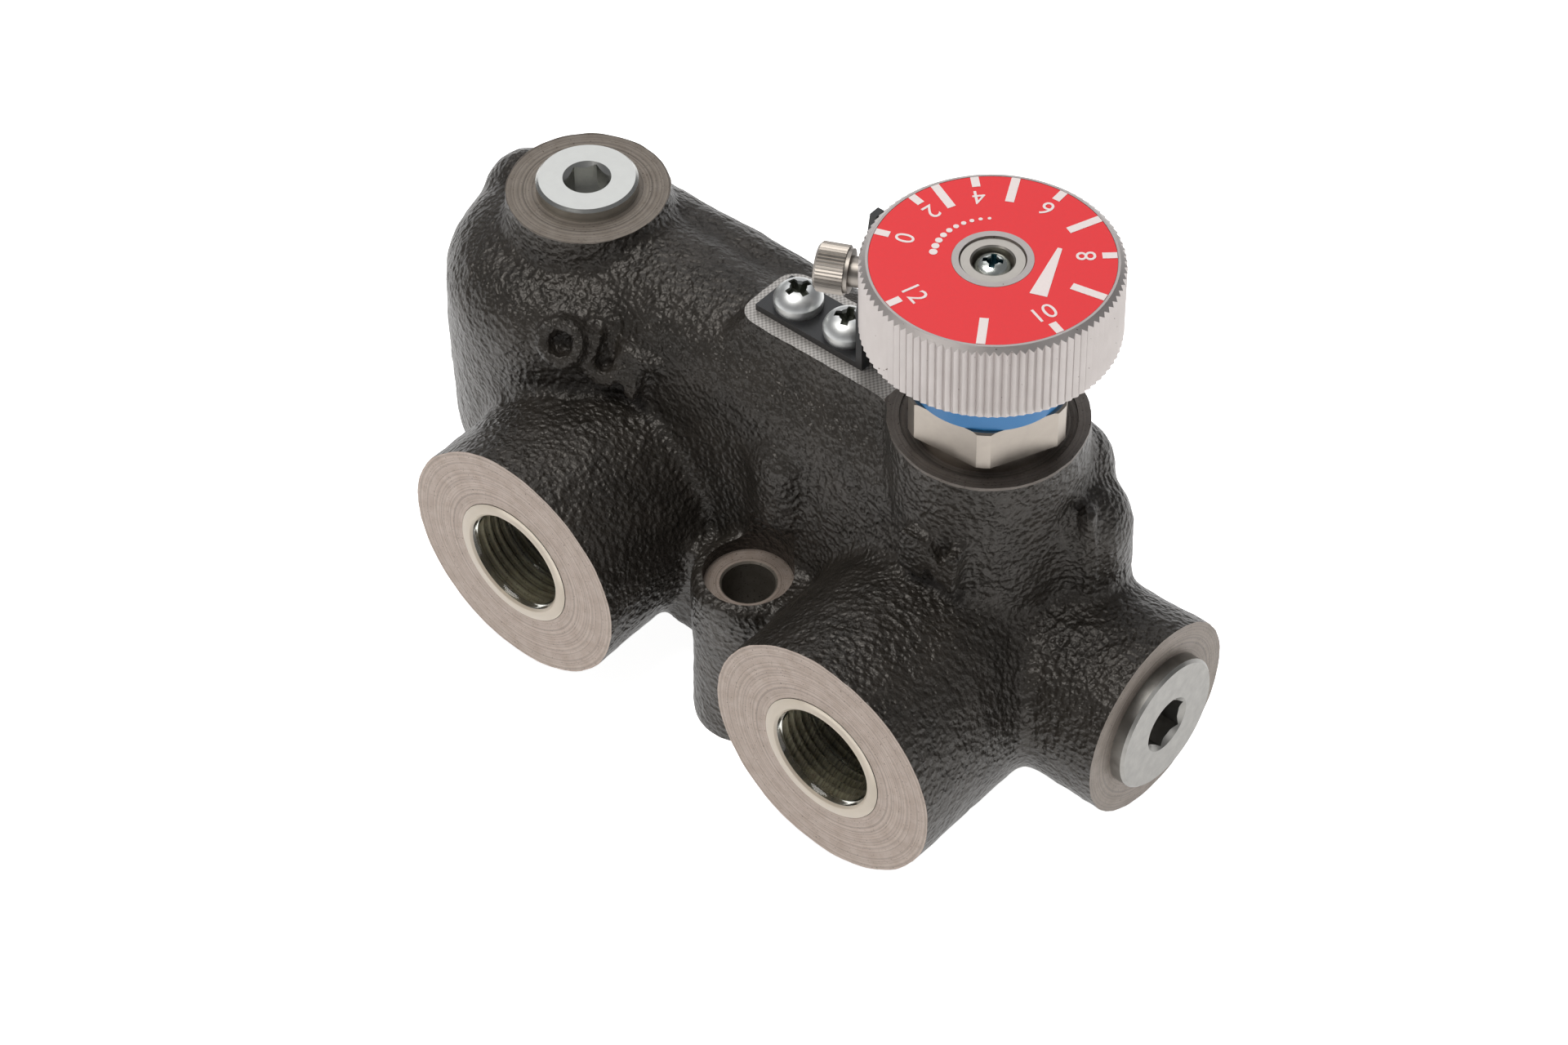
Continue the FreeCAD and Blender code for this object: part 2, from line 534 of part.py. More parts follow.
def pan_screw(x, y, seat_z, length, shank_r, head_r, head_height, turn):
    """Pan-head screw with a cross recess; seat_z is the underside of the head."""
    arc_mid = V(head_r * 0.72, 0, head_height * 0.83)
    rim, low = V(head_r, 0, head_height * 0.3), V(head_r, 0, 0)
    crown, centre = V(0, 0, head_height), V(0, 0, 0)
    edges = [Part.makeLine(centre, low), Part.makeLine(low, rim),
             Part.Arc(rim, arc_mid, crown).toShape(), Part.makeLine(crown, centre)]
    head = Part.Face(Part.Wire(edges)).revolve(V(0, 0, 0), EZ, 360)
    screw = head.fuse(rod_z(-length, 0.1, 0, 0, shank_r))
    arm, half = head_r * 0.54, head_r * 0.15
    recess_floor = head_height * 0.25
    cross = box(-arm, arm, -half, half, recess_floor, head_height + 1)
    cross = cross.fuse(box(-half, half, -arm, arm, recess_floor, head_height + 1))
    cross = cross.fuse(Part.makeCone(half, arm * 0.75, head_height, V(0, 0, recess_floor), EZ))
    screw = screw.cut(cross)
    screw.rotate(V(0, 0, 0), EZ, turn)
    screw.translate(V(x, y, seat_z))
    return screw


def washer(x, y, z0, z1, outer, inner):
    return rod_z(z0, z1, x, y, outer).cut(rod_z(z0 - 1, z1 + 1, x, y, inner))


def pointer_plate():
    """Black plate on the pad, bent up beside the knob into the narrow reading finger."""
    x0, x1 = POINTER_X
    t = POINTER_THICKNESS
    y0, y1 = AXIS_Y - POINTER_HALF_WIDTH, AXIS_Y + POINTER_HALF_WIDTH
    foot = box(x0, x1, y0, y1, DECK_Z, DECK_Z + t)
    riser = prism([V(x1 - t, y0, DECK_Z), V(x1 - t, y1, DECK_Z), V(x1 - t, y1, POINTER_TAPER_Z),
                   V(x1 - t, AXIS_Y + 1.2, POINTER_TIP_Z), V(x1 - t, AXIS_Y - 1.2, POINTER_TIP_Z),
                   V(x1 - t, y0, POINTER_TAPER_Z)], V(t, 0, 0))
    plate = foot.fuse(riser)
    for x in POINTER_SCREW_X:
        plate = plate.cut(rod_z(DECK_Z - 1, DECK_Z + t + 1, x, AXIS_Y, 2.8))
    return plate.removeSplitter()


def compensator_spool():
    """Two-land spool: the left land meters the bypass groove."""
    axis = (AXIS_Y, PORT_Z)
    land_r = BORE_R - RUNNING_GAP
    spool = rod_x(*LEFT_LAND_X, *axis, land_r)
    spool = spool.fuse(rod_x(LEFT_LAND_X[1] - 1, RIGHT_LAND_X[0] + 1, *axis, SPOOL_STEM_R))
    spool = spool.fuse(rod_x(*RIGHT_LAND_X, *axis, land_r))
    spool = spool.fuse(rod_x(RIGHT_LAND_X[1] - 0.5, SPOOL_STOP_X, *axis, 4.0))
    spool = spool.cut(rod_x(LEFT_LAND_X[0] - 1, SPRING_SEAT_X, *axis, SPRING_R + WIRE_R + 0.6))
    for x in (9.5, 13.0, 23.0, 57.0, 61.0):
        spool = spool.cut(ring(V(x, AXIS_Y, PORT_Z), EX, land_r, 0.35))
    return spool


def compensator_spring():
    """Closed-pitch compression spring between the bore end and the spool."""
    x0, x1 = BORE_END_X + 1.2, SPRING_SEAT_X - 1.2
    coil = Part.makeHelix((x1 - x0) / SPRING_TURNS, x1 - x0, SPRING_R)
    section = Part.Wire(Part.makeCircle(WIRE_R, V(SPRING_R, 0, 0), EY))
    spring = Part.Wire(coil).makePipeShell([section], True, True)
    spring.Placement = FreeCAD.Placement(V(x0, AXIS_Y, PORT_Z), FreeCAD.Rotation(EZ, EX))
    return spring


def port_cap(x, face_y, inward):
    """Thin clear cap that keeps a port clean; inward is +1 or -1 along Y."""
    flange_r, dish_r = CAP_SEAT_R - 0.05, PORT_THREAD_R - 1.4
    profile = [(0, 0.9), (dish_r, 0.9), (dish_r, 0.05), (flange_r, 0.05),
               (flange_r, CAP_SEAT_DEPTH - 0.05), (0, CAP_SEAT_DEPTH - 0.05)]
    cap = turned(profile, 0, 0)
    cap.Placement = FreeCAD.Placement(V(x, face_y, PORT_Z), FreeCAD.Rotation(EZ, V(0, inward, 0)))
    return cap


def bush():
    x, y = KNOB_X, AXIS_Y
    solid = rod_z(SPINDLE_TOP_Z, BUSH_TOP_Z, x, y, BUSH_R)
    solid = solid.cut(rod_z(BUSH_FLOOR_Z, BUSH_TOP_Z + 1, x, y, SCREW_WELL_R))
    half = TENON_HALF + THREAD_GAP
    solid = solid.cut(box(x - half, x + half, y - half, y + half, SPINDLE_TOP_Z - 1, BUSH_FLOOR_Z + 0.1))
    return solid.makeChamfer(0.3, level_rims(solid, BUSH_TOP_Z))


# --- fixed pieces ---
save("valve_body", valve_body())
save("top_plug", top_plug())
save("top_plug_seal", ring(V(PLUG_X, AXIS_Y, DECK_Z + SEAL_LIFT), EZ, TOP_SEAL_R, 0.7).common(
    rod_z(DECK_Z + 0.02, DECK_Z + 1.2, PLUG_X, AXIS_Y, 11)))
save("end_plug", end_plug())
save("end_plug_seal", ring(V(END_FACE_X + SEAL_LIFT, AXIS_Y, PORT_Z), EX, END_SEAL_R, 0.6).common(
    rod_x(END_FACE_X + 0.02, END_FACE_X + 2, AXIS_Y, PORT_Z, 15)))
save("bonnet", bonnet())
save("bonnet_o_ring", ring(V(KNOB_X, AXIS_Y, DECK_Z - BONNET_RING_DROP), EZ, BONNET_THREAD_R - 0.65, 0.6))
save("blue_dust_ring", dust_ring())
save("orifice_sleeve", orifice_sleeve())
save("sleeve_o_rings", *[ring(V(KNOB_X, AXIS_Y, z), EZ, SLEEVE_RING_R, 0.38) for z in SLEEVE_RING_Z])
save("spindle_o_ring", ring(V(KNOB_X, AXIS_Y, SPINDLE_RING_Z), EZ, SPINDLE_RING_R, 1.05))
save("pointer_plate", pointer_plate())
plate_top = DECK_Z + POINTER_THICKNESS
save("pointer_washers", *[washer(x, AXIS_Y, plate_top, plate_top + WASHER_THICKNESS,
                                 PAN_HEAD_R - 0.1, 2.7) for x in POINTER_SCREW_X])
save("pointer_screws", *[pan_screw(x, AXIS_Y, plate_top + WASHER_THICKNESS, 12.0, POINTER_TAP_R - 0.05,
                                   PAN_HEAD_R, PAN_HEAD_HEIGHT, turn)
                         for x, turn in zip(POINTER_SCREW_X, POINTER_SCREW_TURN)])
save("compensator_spring", compensator_spring())

# --- sliding compensator ---
save("compensator_spool", compensator_spool())

# --- pieces that turn with the knob ---
save("knob", knob())
save("dial_plate", washer(KNOB_X, AXIS_Y, KNOB_TOP_Z - DIAL_THICKNESS, KNOB_TOP_Z - 0.05,
                          DIAL_R, DIAL_HOLE_R))
save("knob_bush", bush())
save("knob_screw_washer", washer(KNOB_X, AXIS_Y, BUSH_FLOOR_Z, BUSH_FLOOR_Z + 0.6, 3.8, 2.2))
save("knob_screw", pan_screw(KNOB_X, AXIS_Y, BUSH_FLOOR_Z + 0.6, 12.0, 2.0, 3.6, 2.5, 30))
save("spindle", spindle())
save("thrust_washer", washer(KNOB_X, AXIS_Y, SPOOL_Z[1] + 0.05, SPOOL_Z[1] + 0.75, 6.9, 3.1))
save("orifice_spool", orifice_spool())
save("drive_pin", rod(V(KNOB_X - DRIVE_PIN_LENGTH / 2, AXIS_Y, DRIVE_PIN_Z), EX,
                      DRIVE_PIN_LENGTH, DRIVE_PIN_R))

# --- lock screw ---
save("lock_screw", lock_screw())
save("lock_pad", between(on_lock_axis(NECK_R + 0.5),
                         on_lock_axis(LOCK_HEAD_SPAN[0] - LOCK_SHANK_LENGTH - 0.1), LOCK_SHANK_R - 0.3))

# --- transit caps ---
save("outlet_cap", port_cap(OUT_X, PORT_FACE_Y, 1))
save("inlet_cap", port_cap(KNOB_X, PORT_FACE_Y, 1))
save("bypass_cap", port_cap(OUT_X, BYPASS_FACE_Y, -1))
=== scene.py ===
import math

import bpy
from mathutils import Matrix, Vector


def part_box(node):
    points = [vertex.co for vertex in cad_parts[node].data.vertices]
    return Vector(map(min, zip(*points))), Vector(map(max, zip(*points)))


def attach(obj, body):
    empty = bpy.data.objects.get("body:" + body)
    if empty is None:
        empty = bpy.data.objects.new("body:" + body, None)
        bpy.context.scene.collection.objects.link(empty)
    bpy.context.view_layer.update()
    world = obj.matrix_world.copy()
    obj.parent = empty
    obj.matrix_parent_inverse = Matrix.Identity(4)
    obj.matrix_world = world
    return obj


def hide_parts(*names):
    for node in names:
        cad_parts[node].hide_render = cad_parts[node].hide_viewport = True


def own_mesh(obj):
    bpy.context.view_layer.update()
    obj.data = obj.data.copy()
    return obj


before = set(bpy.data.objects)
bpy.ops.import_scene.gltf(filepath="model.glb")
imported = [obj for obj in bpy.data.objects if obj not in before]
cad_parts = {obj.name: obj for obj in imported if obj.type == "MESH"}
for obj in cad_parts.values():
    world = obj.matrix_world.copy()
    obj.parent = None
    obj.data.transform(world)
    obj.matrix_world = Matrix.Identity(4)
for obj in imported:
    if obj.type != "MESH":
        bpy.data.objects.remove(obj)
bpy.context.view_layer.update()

# Lengths are in millimetres; MM turns them into the scene's metres.
MM = 0.001
FONT_SIZE_PER_CAP_HEIGHT = 1.42


def corners(node):
    """Lowest and highest corner of a CAD node, in millimetres."""
    low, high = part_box(node)
    return Vector(low) / MM, Vector(high) / MM


def middle(node):
    """Centre of a CAD node's box, in millimetres."""
    low, high = corners(node)
    return (low + high) / 2


# ---------------------------------------------------------------- places, from the frame
BODY_LOW, BODY_HIGH = corners("valve_body")
AXIS_Y = middle("top_plug").y            # plane of the knob, the top plug and the long bore
PORT_Z = middle("end_plug").z            # height of the ports and of the long bore
KNOB_X = middle("knob").x
OUT_X = middle("outlet_cap").x
PLUG_X = middle("top_plug").x
PORT_FACE_Y = BODY_LOW.y
END_FACE_X = BODY_HIGH.x
BONNET_FACE_Z = BODY_HIGH.z
BYPASS_FACE_Y = corners("bypass_cap")[1].y + 0.05
DECK_Z = corners("pointer_plate")[0].z
PLATE_LEFT_X = corners("pointer_plate")[0].x
REAR_LUG_Y = 2 * AXIS_Y
KNOB_LOW_Z = corners("knob")[0].z
KNOB_TOP_Z = corners("knob")[1].z
DIAL_TOP_Z = corners("dial_plate")[1].z

# ---------------------------------------------------------------- sizes of the casting
PORT_BOSS_R = 27.0
END_BOSS_R = 21.1
KNOB_BOSS_R = 19.6
PLUG_BOSS_R = 16.9
LEFT_END_R = 30.5
UPPER_BARREL_R = 17.5
UPPER_BARREL_Z = PORT_Z + 34.4
REAR_EDGE_R = 10.0
REAR_Y = AXIS_Y + 12.9
REAR_TOP_Z = DECK_Z - 6.5
LUG_R = 11.7
LUG_TOP_Z = 35.6
SPOT_FACE_R = 9.2
OVERHANG = 4.0          # how far a boss is cast past the face that is machined on it
MOUNT_HOLE_R = 5.5
HOLE_CHAMFER = 0.4
REAR_WALL_X = (-74.0, 47.4)
REAR_WALL_FLOOR_Z = 20
LEFT_CORNER = (-87.5, 32.0)     # plan place of the rounded left corner
LEFT_CORNER_FLOOR_Z = 26
LEFT_FLOOR_Z = 17.0
LEFT_SHOULDER_R = 14.0
LEFT_FOOT_R = 11.0
RIB_X, RIB_Y = -0.5, 15.5       # upright rib between the two front bosses
RIB_R = 9.5
RIB_TOP_Z = 58.6
SHOULDER_X, SHOULDER_Y = 55.0, 35.5
SHOULDER_R = 11.0
SHOULDER_TOP_Z = 63.0
BARREL_END_X = KNOB_X + 10
LUG_WEB_LENGTH = 18
REAR_FOOT_HALF_LENGTH = 32
REAR_FOOT_HEIGHT = 14
PAD_HALF_WIDTH = 8.6
PAD_DROP = 9.0
WEB_STEPS = 9

# ---------------------------------------------------------------- bores of the casting
CAP_SEAT_R = 14.35
CAP_SEAT_DEPTH = 1.6
THREAD_MINOR_R = 12.06
THREAD_MAJOR_R = 13.2
THREAD_PITCH = 1.81
THREAD_TURNS = 8
THREAD_DEPTH = 16.0
PASSAGE_R = 10.5
LONG_BORE_R = 10.55
LONG_BORE_END_X = -22.0
END_PLUG_BORE_R = 12.0
END_PLUG_BORE_DEPTH = 15.7
TOP_PLUG_BORE_R = 8.0
TOP_PLUG_BORE_DEPTH = 12.5
ORIFICE_BORE_R = 10.0
BONNET_BORE_R = 13.0
BONNET_BORE_FLOOR_Z = 73.4
POINTER_SCREW_HALF_SPACING = 6.35
POINTER_TAP_R = 2.5
POINTER_TAP_DEPTH = 11.0


# ---------------------------------------------------------------- modelling helpers
def deselect():
    if bpy.context.object and bpy.context.object.mode != "OBJECT":
        bpy.ops.object.mode_set(mode="OBJECT")
    bpy.ops.object.select_all(action="DESELECT")


def pick(*objects):
    """Select these objects only; the first is the active one."""
    deselect()
    for obj in objects:
        obj.select_set(True)
    bpy.context.view_layer.objects.active = objects[0]


def settle(obj):
    """Put a piece's place, turn and scale into its mesh."""
    pick(obj)
    bpy.ops.object.transform_apply(location=True, rotation=True, scale=True)
    return obj


def select_points(obj, wanted):
    """Open a mesh for editing with only the vertices at wanted places selected."""
    pick(obj)
    bpy.ops.object.mode_set(mode="EDIT")
    bpy.ops.mesh.select_all(action="DESELECT")
    bpy.ops.object.mode_set(mode="OBJECT")
    for vertex in obj.data.vertices:
        vertex.select = wanted(vertex.co / MM)
    bpy.ops.object.mode_set(mode="EDIT")


def name_it(obj, name):
    obj.name = name
    obj.data.name = name
    return obj


def rod(start, end, radius, sides=96, end_radius=None):
    """Cylinder, or cone frustum, between two points."""
    a, b = Vector(start), Vector(end)
    span = b - a
    turn = Vector((0, 0, 1)).rotation_difference(span).to_euler()
    deselect()
    bpy.ops.mesh.primitive_cone_add(
        vertices=sides, radius1=radius * MM, depth=span.length * MM,
        radius2=(radius if end_radius is None else end_radius) * MM,
        location=(a + b) / 2 * MM, rotation=turn)
    return settle(bpy.context.active_object)


def block(low, high):
    low, high = Vector(low), Vector(high)
    deselect()
    bpy.ops.mesh.primitive_cube_add(size=1, location=(low + high) / 2 * MM, scale=(high - low) * MM)
    return settle(bpy.context.active_object)


def ball(centre, radius, sides=48):
    deselect()
    bpy.ops.mesh.primitive_uv_sphere_add(segments=sides, ring_count=sides // 2, radius=radius * MM,
                                         location=Vector(centre) * MM)
    return settle(bpy.context.active_object)


def lathe(profile, origin, direction, sides=96, close=True):
    """Turned piece: a circle extruded and resized along its axis through (radius, height) points."""
    radius, height = profile[0]
    deselect()
    bpy.ops.mesh.primitive_circle_add(vertices=sides, radius=radius * MM, location=(0, 0, height * MM),
                                      fill_type="NOTHING")
    obj = settle(bpy.context.active_object)
    bpy.ops.object.mode_set(mode="EDIT")
    bpy.ops.mesh.select_all(action="SELECT")
    for next_radius, next_height in profile[1:]:
        bpy.ops.mesh.extrude_region_move(
            TRANSFORM_OT_translate={"value": (0, 0, (next_height - height) * MM)})
        grow = next_radius / radius
        bpy.ops.transform.resize(value=(grow, grow, 1), center_override=(0, 0, next_height * MM))
        radius, height = next_radius, next_height
    if close:
        bpy.ops.mesh.select_all(action="DESELECT")
        bpy.ops.mesh.select_non_manifold()
        bpy.ops.mesh.edge_face_add()
    bpy.ops.mesh.select_all(action="SELECT")
    bpy.ops.mesh.remove_doubles(threshold=0.001 * MM)
    bpy.ops.mesh.normals_make_consistent(inside=False)
    bpy.ops.object.mode_set(mode="OBJECT")
    obj.rotation_euler = Vector((0, 0, 1)).rotation_difference(Vector(direction)).to_euler()
    obj.location = Vector(origin) * MM
    return settle(obj)


def join(objects):
    """Make one mesh object of several."""
    pick(*objects)
    bpy.ops.object.join()
    return bpy.context.active_object


def modify(obj, kind, **values):
    """Add a modifier, set it and apply it."""
    modifier = obj.modifiers.new(kind.title(), kind)
    for key, value in values.items():
        setattr(modifier, key, value)
    pick(obj)
    bpy.ops.object.modifier_apply(modifier=modifier.name)


def carve(obj, cutter, operation="DIFFERENCE"):
    """Boolean one closed mesh with another, and discard the tool."""
    modify(obj, "BOOLEAN", operation=operation, object=cutter, solver="MANIFOLD")
    bpy.data.objects.remove(cutter, do_unlink=True)


def centred_text(text, height, half_depth, boldness=0.0):
    """Text as a mesh at the origin, with capitals or figures of that height, in millimetres."""
    deselect()
    bpy.ops.object.text_add(location=(0, 0, 0))
    curve = bpy.context.active_object.data
    curve.body = text
    curve.align_x = "CENTER"
    curve.align_y = "CENTER"
    curve.size = height * FONT_SIZE_PER_CAP_HEIGHT * MM
    curve.extrude = half_depth * MM
    curve.offset = boldness * MM
    bpy.ops.object.convert(target="MESH")
    return bpy.context.active_object


def smooth_shade(obj, angle=35.0):
    pick(obj)
    bpy.ops.object.shade_smooth_by_angle(angle=math.radians(angle))


# ---------------------------------------------------------------- casting
def round_topped_wall(start, end, floor_z, top_z, radius):
    """Upright wall between two plan points, with a half-round top and round ends."""
    a, b = Vector((*start, floor_z)), Vector((*end, floor_z))
    lift = Vector((0, 0, top_z - radius - floor_z))
    along = b - a
    deselect()
    bpy.ops.mesh.primitive_cube_add(
        size=1, location=((a + b + lift) / 2) * MM,
        scale=(along.length * MM, 2 * radius * MM, lift.z * MM),
        rotation=(0, 0, math.atan2(along.y, along.x)))
    pieces = [settle(bpy.context.active_object), rod(a + lift, b + lift, radius)]
    for p in (a, b):
        pieces += [rod(p, p + lift, radius, 64), ball(p + lift, radius)]
    return pieces


def leaning_web(x0, x1):
    """Side wall from the long bore's barrel up to the upper barrel: a stack of rods between the two."""
    pieces = []
    for i in range(1, WEB_STEPS):
        t = i / WEB_STEPS
        radius = END_BOSS_R + (UPPER_BARREL_R - END_BOSS_R) * t
        z = PORT_Z + (UPPER_BARREL_Z - PORT_Z) * t
        pieces.append(rod((x0, AXIS_Y, z), (x1, AXIS_Y, z), radius, 80))
    return pieces


def rounded_drum():
    """Upright rounded left end of the casting, around the top plug."""
    top = REAR_TOP_Z - 2.0
    quarter = [math.pi / 2 * i / 8 for i in range(9)]
    profile = [(LEFT_END_R - LEFT_FOOT_R * (1 - math.sin(a)), LEFT_FLOOR_Z + LEFT_FOOT_R * (1 - math.cos(a)))
               for a in quarter]
    profile += [(LEFT_END_R - LEFT_SHOULDER_R * (1 - math.cos(a)), top - LEFT_SHOULDER_R * (1 - math.sin(a)))
                for a in quarter]
    drum = lathe(profile, (PLUG_X, AXIS_Y, 0), (0, 0, 1), 120)
    behind = block((PLUG_X - 50, REAR_Y + REAR_EDGE_R - 6, -5), (PLUG_X + 50, AXIS_Y + 60, 120))
    carve(drum, behind)
    return drum


def pad_mass():
    """Seat of the pointer plate: a flat-topped block whose skirt flares out into the barrel."""
    half, x0, x1 = PAD_HALF_WIDTH, PLATE_LEFT_X - 2.4, KNOB_X - 14
    pad_middle = Vector(((x0 + x1) / 2, AXIS_Y, DECK_Z - PAD_DROP - 1)) * MM
    mass = block((x0, AXIS_Y - half, DECK_Z - 1), (x1, AXIS_Y + half, DECK_Z + OVERHANG))
    select_points(mass, lambda point: point.z < DECK_Z)
    bpy.ops.mesh.extrude_region_move(TRANSFORM_OT_translate={"value": (0, 0, -PAD_DROP * MM)})
    bpy.ops.transform.resize(value=(1.14, 1.5, 1), center_override=pad_middle)
    bpy.ops.object.mode_set(mode="OBJECT")
    corner_rounds = []
    for y in (AXIS_Y - half, AXIS_Y + half):
        corner = block((x0 - 2, y - 2, DECK_Z - 2), (x0 + 2, y + 2, DECK_Z + OVERHANG + 1))
        pick(corner)
        bpy.ops.transform.rotate(value=math.radians(45), orient_axis="Z",
                                 center_override=Vector((x0, y, DECK_Z)) * MM)
        corner_rounds.append(settle(corner))
    for corner in corner_rounds:
        carve(mass, corner)
    return mass


def casting_masses():
    """Every boss, barrel and web of the casting, each closed and overlapping its neighbours."""
    rear_left, rear_right = ((x, REAR_Y) for x in REAR_WALL_X)
    masses = [
        rounded_drum(),
        rod((PLUG_X, AXIS_Y, PORT_Z), (END_FACE_X + OVERHANG, AXIS_Y, PORT_Z), END_BOSS_R),
        rod((PLUG_X, AXIS_Y, UPPER_BARREL_Z), (BARREL_END_X, AXIS_Y, UPPER_BARREL_Z), UPPER_BARREL_R),
        rod((KNOB_X, AXIS_Y, PORT_Z), (KNOB_X, AXIS_Y, BONNET_FACE_Z + OVERHANG), KNOB_BOSS_R + 0.7,
            96, KNOB_BOSS_R),
        rod((PLUG_X, AXIS_Y, PORT_Z), (PLUG_X, AXIS_Y, DECK_Z + OVERHANG), PLUG_BOSS_R + 0.8,
            96, PLUG_BOSS_R),
        rod((OUT_X, PORT_FACE_Y - OVERHANG, PORT_Z), (OUT_X, AXIS_Y, PORT_Z), PORT_BOSS_R),
        rod((KNOB_X, PORT_FACE_Y - OVERHANG, PORT_Z), (KNOB_X, AXIS_Y, PORT_Z), PORT_BOSS_R),
        rod((OUT_X, AXIS_Y, PORT_Z), (OUT_X, BYPASS_FACE_Y + OVERHANG, PORT_Z), PORT_BOSS_R),
        pad_mass(),
        block((REAR_WALL_X[0], AXIS_Y, REAR_WALL_FLOOR_Z + 2), (REAR_WALL_X[1], REAR_Y, REAR_TOP_Z)),
        rod((RIB_X, RIB_Y, LUG_TOP_Z - 4), (RIB_X, RIB_Y, RIB_TOP_Z), RIB_R),
        ball((RIB_X, RIB_Y, RIB_TOP_Z), RIB_R),
        # web from the front lug to the left boss
        block((-22, 0, 9), (-LUG_R + 2, 12, LUG_TOP_Z - 1)),
        block((-REAR_FOOT_HALF_LENGTH, REAR_LUG_Y - 14, -OVERHANG),
              (REAR_FOOT_HALF_LENGTH, REAR_LUG_Y + 4, REAR_FOOT_HEIGHT)),
    ]
    masses += leaning_web(PLUG_X, BARREL_END_X)
    masses += round_topped_wall(rear_left, rear_right, REAR_WALL_FLOOR_Z, REAR_TOP_Z, REAR_EDGE_R)
    masses += round_topped_wall(rear_left, LEFT_CORNER, LEFT_CORNER_FLOOR_Z, REAR_TOP_Z - 0.6, REAR_EDGE_R)
    # shoulder to the right of the knob column
    masses.append(rod((SHOULDER_X, SHOULDER_Y, PORT_Z), (SHOULDER_X, SHOULDER_Y, SHOULDER_TOP_Z),
                      SHOULDER_R, 80))
    masses.append(ball((SHOULDER_X, SHOULDER_Y, SHOULDER_TOP_Z - 1), SHOULDER_R - 0.2))
    for y, inward in ((0.0, 1), (REAR_LUG_Y, -1)):
        masses.append(rod((0, y, -OVERHANG), (0, y, LUG_TOP_Z + 3), LUG_R + 0.3, 80, LUG_R))
        reach = y + inward * LUG_WEB_LENGTH
        masses.append(block((-LUG_R, min(y, reach), 0), (LUG_R, max(y, reach), LUG_TOP_Z)))
    return masses


def port_cutter(x, face_y, inward, passage_end):
    """Cap seat, thread and passage of one port, as a turned tool."""
    thread_end = CAP_SEAT_DEPTH + THREAD_DEPTH
    profile = [(CAP_SEAT_R, -8.0), (CAP_SEAT_R, CAP_SEAT_DEPTH), (THREAD_MINOR_R, CAP_SEAT_DEPTH + 0.02)]
    for i in range(THREAD_TURNS):
        z = CAP_SEAT_DEPTH + 0.3 + i * THREAD_PITCH
        profile += [(THREAD_MINOR_R, z + 0.1), (THREAD_MAJOR_R, z + THREAD_PITCH * 0.45),
                    (THREAD_MINOR_R, z + THREAD_PITCH * 0.9)]
    profile += [(THREAD_MINOR_R, thread_end), (PASSAGE_R, thread_end + 1.5), (PASSAGE_R, passage_end)]
    return lathe(profile, (x, face_y, PORT_Z), (0, inward, 0), 120)


def upright(x, low_z, high_z, radius, sides=96):
    """Upright rod in the plane of the knob and the top plug."""
    return rod((x, AXIS_Y, low_z), (x, AXIS_Y, high_z), radius, sides)


